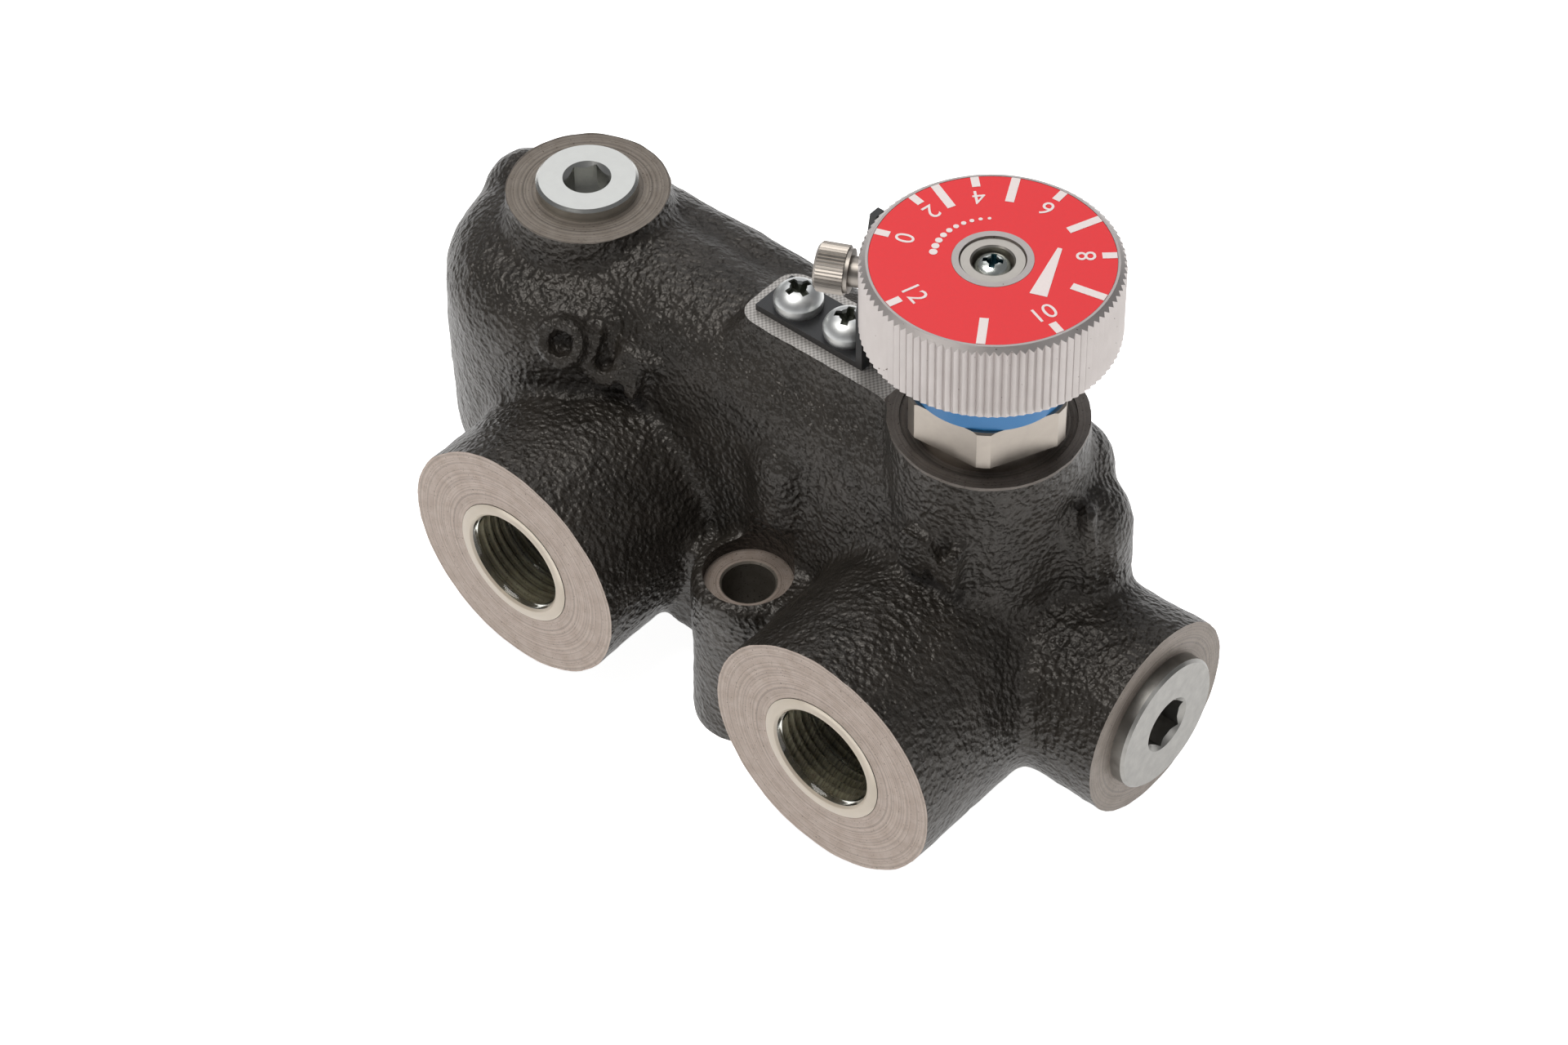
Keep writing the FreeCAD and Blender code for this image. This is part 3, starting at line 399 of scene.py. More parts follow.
def machine(body):
    """Cut every machined face, bore and thread into the casting."""
    front_end = AXIS_Y - 1.6 - PORT_FACE_Y
    rear_end = CAP_SEAT_DEPTH + THREAD_DEPTH + 1.8
    cuts = [
        block((-150, PORT_FACE_Y - 30, -20), (150, PORT_FACE_Y, 100)),
        block((END_FACE_X, -60, -20), (END_FACE_X + 30, 100, 100)),
        block((-150, -60, -40), (150, 120, 0)),
        rod((OUT_X, BYPASS_FACE_Y, PORT_Z), (OUT_X, BYPASS_FACE_Y + 20, PORT_Z), PORT_BOSS_R + 8),
        upright(PLUG_X, DECK_Z, DECK_Z + 20, PLUG_BOSS_R + 8),
        upright(KNOB_X, BONNET_FACE_Z, BONNET_FACE_Z + 20, KNOB_BOSS_R + 6),
        block((PLATE_LEFT_X - 8, AXIS_Y - 18, DECK_Z),
              (KNOB_X - KNOB_BOSS_R + 1.2, AXIS_Y + 18, DECK_Z + 20)),
        port_cutter(OUT_X, PORT_FACE_Y, 1, front_end),
        port_cutter(KNOB_X, PORT_FACE_Y, 1, front_end),
        port_cutter(OUT_X, BYPASS_FACE_Y, -1, rear_end),
        rod((END_FACE_X - END_PLUG_BORE_DEPTH, AXIS_Y, PORT_Z), (END_FACE_X + 9, AXIS_Y, PORT_Z),
            END_PLUG_BORE_R),
        rod((LONG_BORE_END_X, AXIS_Y, PORT_Z), (END_FACE_X, AXIS_Y, PORT_Z), LONG_BORE_R),
        upright(PLUG_X, DECK_Z - TOP_PLUG_BORE_DEPTH, DECK_Z + 9, TOP_PLUG_BORE_R),
        upright(KNOB_X, PORT_Z, BONNET_FACE_Z, ORIFICE_BORE_R),
        upright(KNOB_X, BONNET_BORE_FLOOR_Z, BONNET_FACE_Z, BONNET_BORE_R),
        # recess inside the collar, round the foot of the bonnet
        lathe([(15.6, DECK_Z), (16.2, DECK_Z + 0.05), (17.2, DECK_Z + 0.3), (17.4, BONNET_FACE_Z + 3)],
              (KNOB_X, AXIS_Y, 0), (0, 0, 1)),
    ]
    screws_x = middle("pointer_screws").x
    for x in (screws_x - POINTER_SCREW_HALF_SPACING, screws_x + POINTER_SCREW_HALF_SPACING):
        cuts.append(upright(x, DECK_Z - POINTER_TAP_DEPTH, DECK_Z + 5, POINTER_TAP_R, 32))
    wide_r = MOUNT_HOLE_R + HOLE_CHAMFER
    for y in (0.0, REAR_LUG_Y):
        cuts.append(rod((0, y, LUG_TOP_Z), (0, y, LUG_TOP_Z + 12), SPOT_FACE_R, 96, SPOT_FACE_R + 0.4))
        cuts.append(lathe([(MOUNT_HOLE_R, -5), (MOUNT_HOLE_R, LUG_TOP_Z - HOLE_CHAMFER),
                           (wide_r, LUG_TOP_Z), (wide_r, LUG_TOP_Z + 4)],
                          (0, y, 0), (0, 0, 1), 72))
    cuts.append(rod((0, REAR_LUG_Y, LUG_TOP_Z), (0, REAR_LUG_Y, DECK_Z), MOUNT_HOLE_R, 72))
    for cutter in cuts:
        carve(body, cutter)


LETTER_HALF_DEPTH = 3.0
LETTER_BOLDNESS = 0.75
LETTER_LIFT = 0.6


def raised_word(body, text, centre, along, out, height, pitch):
    """Cast letters: each one is set on the body's skin where a line along its own facing meets it."""
    along, out = Vector(along).normalized(), Vector(out).normalized()
    letters = []
    for i, letter in enumerate(text):
        place = Vector(centre) + along * pitch * (i - (len(text) - 1) / 2)
        hit, spot, facing, _ = body.ray_cast((place + out * 40) * MM, -out)
        if not hit:
            raise RuntimeError("no skin under a cast letter")
        obj = centred_text(letter, height, LETTER_HALF_DEPTH, LETTER_BOLDNESS)
        facing = (facing + out).normalized()
        rise = facing.cross(along).normalized()
        turn = Matrix((rise.cross(facing), rise, facing)).transposed()
        obj.matrix_world = Matrix.Translation(spot + facing * LETTER_LIFT * MM) @ turn.to_4x4()
        letters.append(settle(obj))
    return letters


def parting_ridge():
    """Rib that the mould's joint leaves up the shoulder beside the knob column."""
    foot, top = Vector((63.4, 28.4, 50.0)), Vector((61.8, 29.6, 71.5))
    return [rod(foot, top, 1.6, 24), ball(top, 1.6, 24), rod((58.1, 33.0, 70.6), top, 1.8, 24)]


def displace(body, name, size, strength, **values):
    """Push the skin in and out by cloud noise of that size, in millimetres."""
    noise = bpy.data.textures.new(name, "CLOUDS")
    noise.noise_scale = size * MM
    for key, value in values.items():
        setattr(noise, key, value)
    modify(body, "DISPLACE", texture=noise, texture_coords="LOCAL", strength=strength * MM, mid_level=0.5)


def cast_body():
    """Rough casting melted together from its masses, with raised letters, then machined."""
    body = join(casting_masses())
    modify(body, "REMESH", mode="VOXEL", voxel_size=1.2 * MM)
    modify(body, "SMOOTH", factor=0.5, iterations=9)
    details = raised_word(body, "OUT", (-43.5, 6.0, 66.5), (1, 0.16, -0.10), (0.10, -0.80, 0.60), 9.0, 7.8)
    details += raised_word(body, "IN", (39.8, 8.0, 64.5), (1, 0.05, -0.05), (0, -1, 0.10), 9.0, 6.6)
    body = join([body] + details + parting_ridge())
    modify(body, "REMESH", mode="VOXEL", voxel_size=0.95 * MM)
    modify(body, "SMOOTH", factor=0.5, iterations=1)
    displace(body, "cast_skin", 2.6, 0.35, noise_depth=2)
    displace(body, "cast_waves", 16, 0.9)
    machine(body)
    return name_it(body, "cast_body")


# ---------------------------------------------------------------- materials
class Surface:
    """A Principled material with a few procedural layers on Object coordinates, in millimetres."""

    def __init__(self, name, colour, roughness=0.5, metallic=0.0, centre=(0, 0, 0), axis=(0, 0, 1)):
        self.material = bpy.data.materials.new(name)
        self.material.use_nodes = True
        self.tree = self.material.node_tree
        self.shader = self.tree.nodes["Principled BSDF"]
        self.shader.inputs["Base Color"].default_value = (*colour, 1)
        self.shader.inputs["Roughness"].default_value = roughness
        self.shader.inputs["Metallic"].default_value = metallic
        coordinates = self.node("ShaderNodeTexCoord")
        mapping = self.node("ShaderNodeMapping", vector_type="TEXTURE")
        mapping.inputs["Location"].default_value = Vector(centre) * MM
        turn = Vector((0, 0, 1)).rotation_difference(Vector(axis))
        mapping.inputs["Rotation"].default_value = turn.to_euler()
        mapping.inputs["Scale"].default_value = (MM, MM, MM)
        self.link(coordinates.outputs["Object"], mapping.inputs["Vector"])
        self.place = mapping.outputs["Vector"]
        self.normal = None

    def node(self, kind, **values):
        node = self.tree.nodes.new(kind)
        for key, value in values.items():
            setattr(node, key, value)
        return node

    def link(self, output, socket):
        self.tree.links.new(output, socket)

    def noise(self, size, detail=2.0):
        """Noise whose grains are about that many millimetres across."""
        node = self.node("ShaderNodeTexNoise")
        node.inputs["Scale"].default_value = 1 / size
        node.inputs["Detail"].default_value = detail
        self.link(self.place, node.inputs["Vector"])
        return node.outputs["Fac"]

    def pebbles(self, size):
        """Soft-edged grains, as sand leaves on a casting."""
        sway = self.node("ShaderNodeVectorMath", operation="MULTIPLY_ADD")
        wander = self.node("ShaderNodeTexNoise")
        wander.inputs["Scale"].default_value = 0.7 / size
        self.link(self.place, wander.inputs["Vector"])
        self.link(wander.outputs["Color"], sway.inputs[0])
        sway.inputs[1].default_value = (size, size, size)
        self.link(self.place, sway.inputs[2])
        node = self.node("ShaderNodeTexVoronoi", feature="SMOOTH_F1")
        node.inputs["Scale"].default_value = 1 / size
        node.inputs["Smoothness"].default_value = 0.6
        self.link(sway.outputs["Vector"], node.inputs["Vector"])
        return node.outputs["Distance"]

    def arithmetic(self, operation, a, b):
        """One arithmetic node; each input is a socket or a number."""
        node = self.node("ShaderNodeMath", operation=operation)
        for socket, value in zip(node.inputs, (a, b)):
            if isinstance(value, bpy.types.NodeSocket):
                self.link(value, socket)
            else:
                socket.default_value = value
        return node.outputs["Value"]

    def paint_recess_shade(self, colour, shade, centres, radius, top_z):
        """Painted shade: lay the shade colour on everything lower than top_z and nearer than radius to any of
        the upright centre lines, for the shade inside a recess.
        """
        spot = next(n for n in self.tree.nodes if n.type == "TEX_COORD").outputs["Object"]
        parts = self.node("ShaderNodeSeparateXYZ")
        self.link(spot, parts.inputs["Vector"])
        low = self.arithmetic("LESS_THAN", parts.outputs["Z"], top_z * MM)
        near = 0.0
        for x, y in centres:
            offset = self.node("ShaderNodeVectorMath", operation="SUBTRACT")
            self.link(spot, offset.inputs[0])
            offset.inputs[1].default_value = (x * MM, y * MM, 0)
            flat = self.node("ShaderNodeVectorMath", operation="MULTIPLY")
            flat.inputs[1].default_value = (1, 1, 0)
            self.link(offset.outputs["Vector"], flat.inputs[0])
            length = self.node("ShaderNodeVectorMath", operation="LENGTH")
            self.link(flat.outputs["Vector"], length.inputs[0])
            inside = self.arithmetic("LESS_THAN", length.outputs["Value"], radius * MM)
            near = self.arithmetic("MAXIMUM", near, inside)
        return self.mix(self.arithmetic("MULTIPLY", low, near), colour, shade)

    def rings(self, pitch, detail=2.0):
        """Uneven circles round the material's own axis, as a lathe tool leaves."""
        flat = self.node("ShaderNodeVectorMath", operation="MULTIPLY")
        flat.inputs[1].default_value = (1, 1, 0)
        length = self.node("ShaderNodeVectorMath", operation="LENGTH")
        noise = self.node("ShaderNodeTexNoise", noise_dimensions="1D")
        noise.inputs["Scale"].default_value = 1 / pitch
        noise.inputs["Detail"].default_value = detail
        self.link(self.place, flat.inputs[0])
        self.link(flat.outputs["Vector"], length.inputs[0])
        self.link(length.outputs["Value"], noise.inputs["W"])
        return noise.outputs["Fac"]

    def ramp(self, factor, *stops):
        """Colour ramp through (position, colour) stops."""
        node = self.node("ShaderNodeValToRGB")
        elements = node.color_ramp.elements
        while len(elements) < len(stops):
            elements.new(0.5)
        for element, (position, colour) in zip(elements, stops):
            element.position = position
            element.color = (*colour, 1)
        self.link(factor, node.inputs["Fac"])
        return node.outputs["Color"]

    def mix(self, factor, a, b, blend="MIX"):
        node = self.node("ShaderNodeMix", data_type="RGBA", blend_type=blend)
        for socket, value in ((node.inputs[0], factor), (node.inputs[6], a), (node.inputs[7], b)):
            if isinstance(value, bpy.types.NodeSocket):
                self.link(value, socket)
            else:
                socket.default_value = value if isinstance(value, (int, float)) else (*value, 1)
        return node.outputs[2]

    def colour(self, output):
        self.link(output, self.shader.inputs["Base Color"])

    def roughness(self, factor, low, high):
        node = self.node("ShaderNodeMapRange")
        node.inputs["To Min"].default_value = low
        node.inputs["To Max"].default_value = high
        self.link(factor, node.inputs["Value"])
        self.link(node.outputs["Result"], self.shader.inputs["Roughness"])

    def bump(self, height, depth, strength=1.0):
        """Relief that many millimetres deep."""
        node = self.node("ShaderNodeBump")
        node.inputs["Strength"].default_value = strength
        node.inputs["Distance"].default_value = depth * MM
        self.link(height, node.inputs["Height"])
        if self.normal:
            self.link(self.normal, node.inputs["Normal"])
        self.normal = node.outputs["Normal"]
        self.link(self.normal, self.shader.inputs["Normal"])

    def set(self, **values):
        for key, value in values.items():
            self.shader.inputs[key.replace("_", " ")].default_value = value


def cast_paint():
    """Black paint on a sand-cast skin, worn light in a few specks."""
    s = Surface("cast_paint", (0.012, 0.011, 0.0105), 0.42)
    grain = s.pebbles(1.2)
    broad = s.noise(9.0, 2)
    tone = s.ramp(broad, (0.3, (0.014, 0.0118, 0.0092)), (0.7, (0.027, 0.0228, 0.0185)))
    specks = s.ramp(s.noise(0.55, 1), (0.80, (0, 0, 0)), (0.84, (1, 1, 1)))
    s.colour(s.mix(specks, tone, (0.20, 0.18, 0.17)))
    s.roughness(s.noise(0.8, 2), 0.26, 0.52)
    s.bump(grain, 0.5, 0.9)
    s.bump(s.noise(0.9, 2), 0.5, 0.5)
    s.bump(s.noise(4.0, 2), 2.0, 0.35)
    s.set(Specular_IOR_Level=0.5, Specular_Tint=(1.0, 0.95, 0.90, 1))
    return s.material


def cut_iron(name, centre, axis, pitch=0.5, light=(0.37, 0.305, 0.262), dark=(0.25, 0.205, 0.175)):
    """Turned or faced grey iron with circular tool marks."""
    s = Surface(name, light, 0.45, 0.55, centre, axis)
    rings = s.rings(pitch, 3)
    tone = s.ramp(rings, (0.30, dark), (0.62, light))
    blotch = s.ramp(s.noise(3.0, 3), (0.33, (0.85, 0.83, 0.81)), (0.62, (1, 1, 1)))
    pits = s.ramp(s.noise(0.45, 2), (0.30, (0.40, 0.37, 0.35)), (0.37, (1, 1, 1)))
    s.colour(s.mix(1.0, s.mix(1.0, tone, blotch, "MULTIPLY"), pits, "MULTIPLY"))
    s.roughness(rings, 0.40, 0.56)
    s.bump(rings, 0.06, 0.6)
    return s.material


def metal(name, colour, roughness, node, axis=(0, 0, 1), ring_pitch=0.4, ring_depth=0.02, worn=0.12,
          recess=None):
    """Bare or plated metal with faint turning marks about the node's own axis, and with painted shade in a
    recess when recess is given.
    """
    s = Surface(name, colour, roughness, 1.0, middle(node), axis)
    rings = s.rings(ring_pitch)
    stain = s.noise(2.2, 3)
    dim = tuple(c * (1 - worn) for c in colour)
    tone = s.mix(stain, dim, colour)
    s.colour(s.paint_recess_shade(tone, *recess) if recess else tone)
    s.roughness(stain, roughness * 0.85, roughness * 1.15)
    s.bump(rings, ring_depth, 0.6)
    return s.material


def plastic(name, colour, roughness=0.4, grain=0.4, depth=0.01):
    s = Surface(name, colour, roughness)
    noise = s.noise(grain)
    s.colour(s.mix(noise, tuple(c * 0.92 for c in colour), colour))
    s.roughness(noise, roughness * 0.9, roughness * 1.1)
    s.bump(noise, depth)
    return s.material


def clear_cap(name, colour, clear, low, high):
    s = Surface(name, colour, 0.16)
    haze = s.noise(2.5)
    s.colour(s.mix(haze, tuple(c * 0.9 for c in colour), colour))
    s.roughness(haze, low, high)
    s.set(Transmission_Weight=clear, IOR=1.45)
    return s.material


def hatched_pad():
    """Pad face with two crossed sets of fine cutter marks."""
    s = Surface("pad_face", (0.38, 0.36, 0.34), 0.42, 0.6)
    marks = None
    for angle in (0.55, -0.75):
        turn = s.node("ShaderNodeVectorRotate", rotation_type="Z_AXIS")
        turn.inputs["Angle"].default_value = angle
        s.link(s.place, turn.inputs["Vector"])
        wave = s.node("ShaderNodeTexWave", wave_type="BANDS", bands_direction="X")
        wave.inputs["Scale"].default_value = 0.42
        wave.inputs["Distortion"].default_value = 0.6
        s.link(turn.outputs["Vector"], wave.inputs["Vector"])
        marks = s.mix(0.5, marks, wave.outputs["Color"]) if marks else wave.outputs["Color"]
    s.colour(s.ramp(marks, (0.2, (0.26, 0.245, 0.23)), (0.8, (0.50, 0.475, 0.45))))
    s.bump(marks, 0.05, 0.7)
    return s.material


def knob_metal():
    """Dull aluminium with a few dark flecks."""
    s = Surface("knob_aluminium", (0.62, 0.61, 0.61), 0.42, 0.9, middle("knob"))
    stain = s.noise(6.0, 2)
    flecks = s.ramp(s.noise(0.9, 1), (0.20, (0.30, 0.27, 0.25)), (0.235, (1, 1, 1)))
    s.colour(s.mix(1.0, s.mix(stain, (0.42, 0.385, 0.37), (0.50, 0.465, 0.45)), flecks, "MULTIPLY"))
    s.roughness(s.noise(1.5), 0.36, 0.5)
    s.bump(s.noise(0.25), 0.02)
    return s.material


def paint_node(node, material):
    """Give a CAD node its finish."""
    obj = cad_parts[node]
    obj.data.materials.clear()
    obj.data.materials.append(material)


# Reach of the painted shade in the screws' cross recesses: share of the head's radius and depth below its
# top.
SCREW_RECESS_SHARE = 0.56      # of the pan head's radius
SCREW_RECESS_DEPTH = 0.75
KNOB_SCREW_RECESS_R = 2.0
KNOB_SCREW_RECESS_DEPTH = 0.5


def pan_screw_zinc():
    """Zinc of the pointer's screws, with painted shade inside their cross recesses."""
    low, high = corners("pointer_screws")
    head_r = (high.y - low.y) / 2
    spacing = (high.x - low.x) / 2 - head_r
    centre_x = middle("pointer_screws").x
    heads = [(centre_x - spacing, AXIS_Y), (centre_x + spacing, AXIS_Y)]
    # recess: painted shade colour, head centres, radius and top height of the shaded recess
    return metal("screw_zinc", (0.74, 0.75, 0.74), 0.42, "pointer_screws", ring_depth=0.0, worn=0.15,
                 recess=((0.20, 0.21, 0.18), heads, SCREW_RECESS_SHARE * head_r, high.z - SCREW_RECESS_DEPTH))


def paint_nodes():
    """Give every CAD node that is carried over its own finish."""
    screw_zinc = pan_screw_zinc()
    # Painted shade in the knob screw's cross recess: colour, centre, radius and top height.
    knob_screw_painted_shade = ((0.10, 0.20, 0.23), [(KNOB_X, AXIS_Y)], KNOB_SCREW_RECESS_R,
                         corners("knob_screw")[1].z - KNOB_SCREW_RECESS_DEPTH)
    steel = metal("inner_steel", (0.50, 0.50, 0.50), 0.28, "spindle")
    rubber = plastic("seal_rubber", (0.012, 0.012, 0.012), 0.6)
    finishes = {
        "top_plug": metal("top_plug_zinc", (0.55, 0.55, 0.525), 0.24, "top_plug", ring_depth=0.012),
        "end_plug": metal("end_plug_zinc", (0.35, 0.34, 0.32), 0.38, "end_plug", axis=(1, 0, 0),
                          ring_depth=0.012, worn=0.45),
        "pointer_screws": screw_zinc,
        "pointer_washers": screw_zinc,
        "bonnet": metal("bonnet_nickel", (0.42, 0.375, 0.33), 0.36, "bonnet", ring_pitch=0.5,
                        ring_depth=0.015, worn=0.2),
        "knob": knob_metal(),
        "knob_bush": metal("bush_steel", (0.46, 0.43, 0.39), 0.30, "knob_bush", worn=0.2),
        "knob_screw_washer": metal("washer_steel", (0.42, 0.40, 0.38), 0.34, "knob_screw_washer"),
        "knob_screw": metal("cross_screw_zinc", (0.66, 0.69, 0.66), 0.26, "knob_screw",
                            recess=knob_screw_painted_shade),
        "lock_screw": metal("lock_screw_steel", (0.38, 0.345, 0.31), 0.42, "lock_screw",
                            ring_depth=0.0, worn=0.3),
        "compensator_spring": metal("spring_wire", (0.30, 0.29, 0.28), 0.35, "compensator_spring"),
        "lock_pad": metal("pad_brass", (0.70, 0.53, 0.25), 0.3, "lock_pad"),
        "dial_plate": plastic("dial_red", (0.86, 0.031, 0.038), 0.55, 0.6, 0.006),
        "blue_dust_ring": plastic("blue_polymer", (0.024, 0.187, 0.445), 0.38),
        "pointer_plate": plastic("black_lacquer", (0.012, 0.012, 0.013), 0.36, 0.8, 0.01),
    }
    for node in ("spindle", "orifice_sleeve", "orifice_spool", "compensator_spool", "thrust_washer",
                 "drive_pin"):
        finishes[node] = steel
    for node in ("top_plug_seal", "end_plug_seal", "bonnet_o_ring", "sleeve_o_rings", "spindle_o_ring"):
        finishes[node] = rubber
    for node, material in finishes.items():
        paint_node(node, material)


# ---------------------------------------------------------------- finishes of the casting
ON_FACE = 0.03          # how near a face's middle lies to the plane it was cut on


def finish_casting(body):
    """Give each machined face, bore and seat of the casting its own finish."""
    finishes = {
        "paint": cast_paint(),
        "outlet": cut_iron("outlet_face", (OUT_X, PORT_FACE_Y, PORT_Z), (0, 1, 0)),
        "inlet": cut_iron("inlet_face", (KNOB_X, PORT_FACE_Y, PORT_Z), (0, 1, 0)),
        "bypass": cut_iron("bypass_face", (OUT_X, BYPASS_FACE_Y, PORT_Z), (0, 1, 0)),
        "end": cut_iron("end_face", (END_FACE_X, AXIS_Y, PORT_Z), (1, 0, 0),
                        light=(0.25, 0.215, 0.185), dark=(0.17, 0.145, 0.125)),
        "plug": cut_iron("plug_face", (PLUG_X, AXIS_Y, DECK_Z), (0, 0, 1), 0.5,
                         light=(0.26, 0.225, 0.19), dark=(0.13, 0.112, 0.095)),
        "pad": hatched_pad(),
        "spot": cut_iron("spot_face", (0, 0, LUG_TOP_Z), (0, 0, 1), 0.4),
        "collar": cut_iron("collar_face", (KNOB_X, AXIS_Y, DECK_Z), (0, 0, 1), 0.6,
                           light=(0.16, 0.14, 0.125), dark=(0.10, 0.088, 0.078)),
        "base": cut_iron("base_face", (0, AXIS_Y, 0), (0, 0, 1), 0.8),
        # Mount hole walls: machined iron painted darker, as painted shade inside the holes.
        "hole": cut_iron("hole_wall_painted_shade", (0, 0, 0), (0, 0, 1), 0.5,
                         light=(0.24, 0.215, 0.18), dark=(0.12, 0.105, 0.09)),
        "bore": cut_iron("bore_wall", (OUT_X, 0, PORT_Z), (0, 1, 0), 0.5,
                         light=(0.55, 0.51, 0.41), dark=(0.27, 0.25, 0.20)),
    }
    order = list(finishes)
    body.data.materials.clear()
    for material in finishes.values():
        body.data.materials.append(material)

    def finish_of(centre, normal):
        """Finish of one mesh face, by where it lies and where it looks."""
        x, y, z = centre / MM
        off_long_axis = math.hypot(y - AXIS_Y, z - PORT_Z)
        from_outlet = math.hypot(x - OUT_X, z - PORT_Z)
        from_inlet = math.hypot(x - KNOB_X, z - PORT_Z)
        from_knob = math.hypot(x - KNOB_X, y - AXIS_Y)
        from_plug = math.hypot(x - PLUG_X, y - AXIS_Y)
        from_hole = min(math.hypot(x, y), math.hypot(x, y - REAR_LUG_Y))
        level = abs(normal.z) > 0.98
        if abs(y - PORT_FACE_Y) < ON_FACE and abs(normal.y) > 0.98:
            return "outlet" if x < 0 else "inlet"
        if abs(y - BYPASS_FACE_Y) < ON_FACE and abs(normal.y) > 0.98:
            return "bypass"
        if abs(x - END_FACE_X) < ON_FACE:
            return "end"
        if abs(z) < ON_FACE:
            return "base"
        if abs(z - DECK_Z) < ON_FACE and level and from_plug < PLUG_BOSS_R + 5:
            return "plug"
        if abs(z - DECK_Z) < ON_FACE and level and from_knob > KNOB_BOSS_R - 2:
            return "pad"
        if z > DECK_Z - 0.1 and from_knob < KNOB_BOSS_R + 2 and z > BONNET_FACE_Z - 1.2:
            return "collar"
        if abs(z - LUG_TOP_Z) < 0.5 and from_hole < SPOT_FACE_R + 0.5 and level:
            return "spot"
        if from_hole < MOUNT_HOLE_R + 0.5 and z < LUG_TOP_Z + 1:
            return "hole"
        if y < AXIS_Y and min(from_outlet, from_inlet) < CAP_SEAT_R + 0.1:
            return "bore"
        if y > REAR_Y and from_outlet < CAP_SEAT_R + 0.1:
            return "bore"
        if off_long_axis < 12.5 and x > -22.5:
            return "bore"
        if from_knob < 13.2 or from_plug < 8.3:
            return "bore"
        return "paint"

    for face in body.data.polygons:
        face.material_index = order.index(finish_of(face.center, face.normal))


# ---------------------------------------------------------------- dial print
DIAL_MARK_LIFT = 0.03
DIAL_MARK_THICKNESS = 0.06
DIAL_FIGURE_HEIGHT = 3.75
DIAL_FIGURE_R = 17.5
SHORT_TICK = {"radius": 21.7, "length": 2.8, "width": 1.6}
LONG_TICK = {"radius": 19.65, "length": 6.9, "width": 1.7}
FIGURE_ANGLES = {"0": 200.5, "2": 170.4, "4": 137.6, "6": 93.4, "8": 42.2, "10": -19.1, "12": -107.8}
LONG_TICK_ANGLES = (157.2, 117.8, 68.6, 12.4, -56.8)
WEDGE = {"radius": 10.9, "degrees": 21, "length": 13.5, "low": 0.9, "high": 3.4}
DOTS = {"radius": 11.2, "start": 132, "end": 210, "count": 10, "small": 0.35, "large": 0.8}


def on_dial(radius, degrees, lift=0.0):
    """Point on the printed side of the dial."""
    a = math.radians(degrees)
    return Vector((KNOB_X + radius * math.cos(a), AXIS_Y + radius * math.sin(a),
                   DIAL_TOP_Z + DIAL_MARK_LIFT + lift))


def dial_bar(degrees, radius, length, width):
    """Flat printed bar centred at that radius, lying along it."""
    deselect()
    bpy.ops.mesh.primitive_cube_add(
        size=1, location=on_dial(radius, degrees, DIAL_MARK_THICKNESS / 2) * MM,
        rotation=(0, 0, math.radians(degrees)),
        scale=Vector((length, width, DIAL_MARK_THICKNESS)) * MM)
    return settle(bpy.context.active_object)


def dial_number(text, degrees):
    obj = centred_text(text, DIAL_FIGURE_HEIGHT, DIAL_MARK_THICKNESS / 2)
    obj.rotation_euler = (0, 0, math.radians(degrees + 90))
    obj.location = on_dial(DIAL_FIGURE_R, degrees, DIAL_MARK_THICKNESS / 2) * MM
    return settle(obj)


def dial_wedge(radius, degrees, length, low, high):
    """Printed wedge across the radius, from a thin end to a thick end."""
    deselect()
    bpy.ops.mesh.primitive_cube_add(size=1, scale=Vector((high, length, DIAL_MARK_THICKNESS)) * MM)
    obj = settle(bpy.context.active_object)
    select_points(obj, lambda point: point.y > 0)
    bpy.ops.transform.resize(value=(low / high, 1, 1), center_override=(0, 0, 0))
    bpy.ops.object.mode_set(mode="OBJECT")
    obj.rotation_euler = (0, 0, math.radians(degrees))
    obj.location = on_dial(radius, degrees, DIAL_MARK_THICKNESS / 2) * MM
    return settle(obj)


def growing_dots(radius, start, end, count, small, large):
    """Row of printed dots round the knob's axis, each larger than the one before."""
    dots = []
    for i in range(count):
        t = i / (count - 1)
        spot = on_dial(radius, start + (end - start) * t)
        dots.append(rod(spot, spot + Vector((0, 0, DIAL_MARK_THICKNESS)), small + (large - small) * t, 28))
    return dots


def dial_print():
    """Tick marks, figures, wedge and dots printed on the dial, as one piece."""
    marks = [dial_bar(a, **SHORT_TICK) for a in FIGURE_ANGLES.values()]
    marks += [dial_bar(a, **LONG_TICK) for a in LONG_TICK_ANGLES]
    marks += [dial_number(text, a) for text, a in FIGURE_ANGLES.items()]
    marks.append(dial_wedge(**WEDGE))
    marks += growing_dots(**DOTS)
    piece = name_it(join(marks), "dial_print")
    ink = plastic("dial_ink", (0.90, 0.80, 0.78), 0.45, 0.6, 0.004)
    piece.data.materials.clear()
    piece.data.materials.append(ink)
    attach(piece, "knob")


# ---------------------------------------------------------------- transit caps
CAP_PROFILE = [(14.25, 1.5), (14.25, -0.1), (13.9, -0.35), (12.0, -0.35), (11.5, 0.1),
               (11.05, 1.4), (10.9, 9.4), (0.01, 9.6), (0.01, 10.5), (11.3, 10.3), (11.7, 9.8), (11.75, 1.5)]


def transit_cap(name, node, x, face_y, inward):
    """Clear moulded cup with a thin flange that sits in the port's mouth."""
    cap = lathe(CAP_PROFILE + CAP_PROFILE[:1], (x, face_y, PORT_Z), (0, inward, 0), 120, close=False)
    name_it(cap, name)
    smooth_shade(cap, 40)
    cap.data.materials.clear()
    cap.data.materials.append(bpy.data.materials["clear_cup"])
    cap.data.materials.append(bpy.data.materials["milky_flange"])
    for face in cap.data.polygons:
        outside = (face_y - face.center.y / MM) * inward
        face.material_index = 1 if outside > -0.05 and abs(face.normal.y) > 0.5 else 0
    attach(cap, node)
    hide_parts(node)


# ---------------------------------------------------------------- compensator spring
SPRING_WIRE_R = 1.0
SPRING_TURNS = 6
SPRING_STEPS_PER_TURN = 32


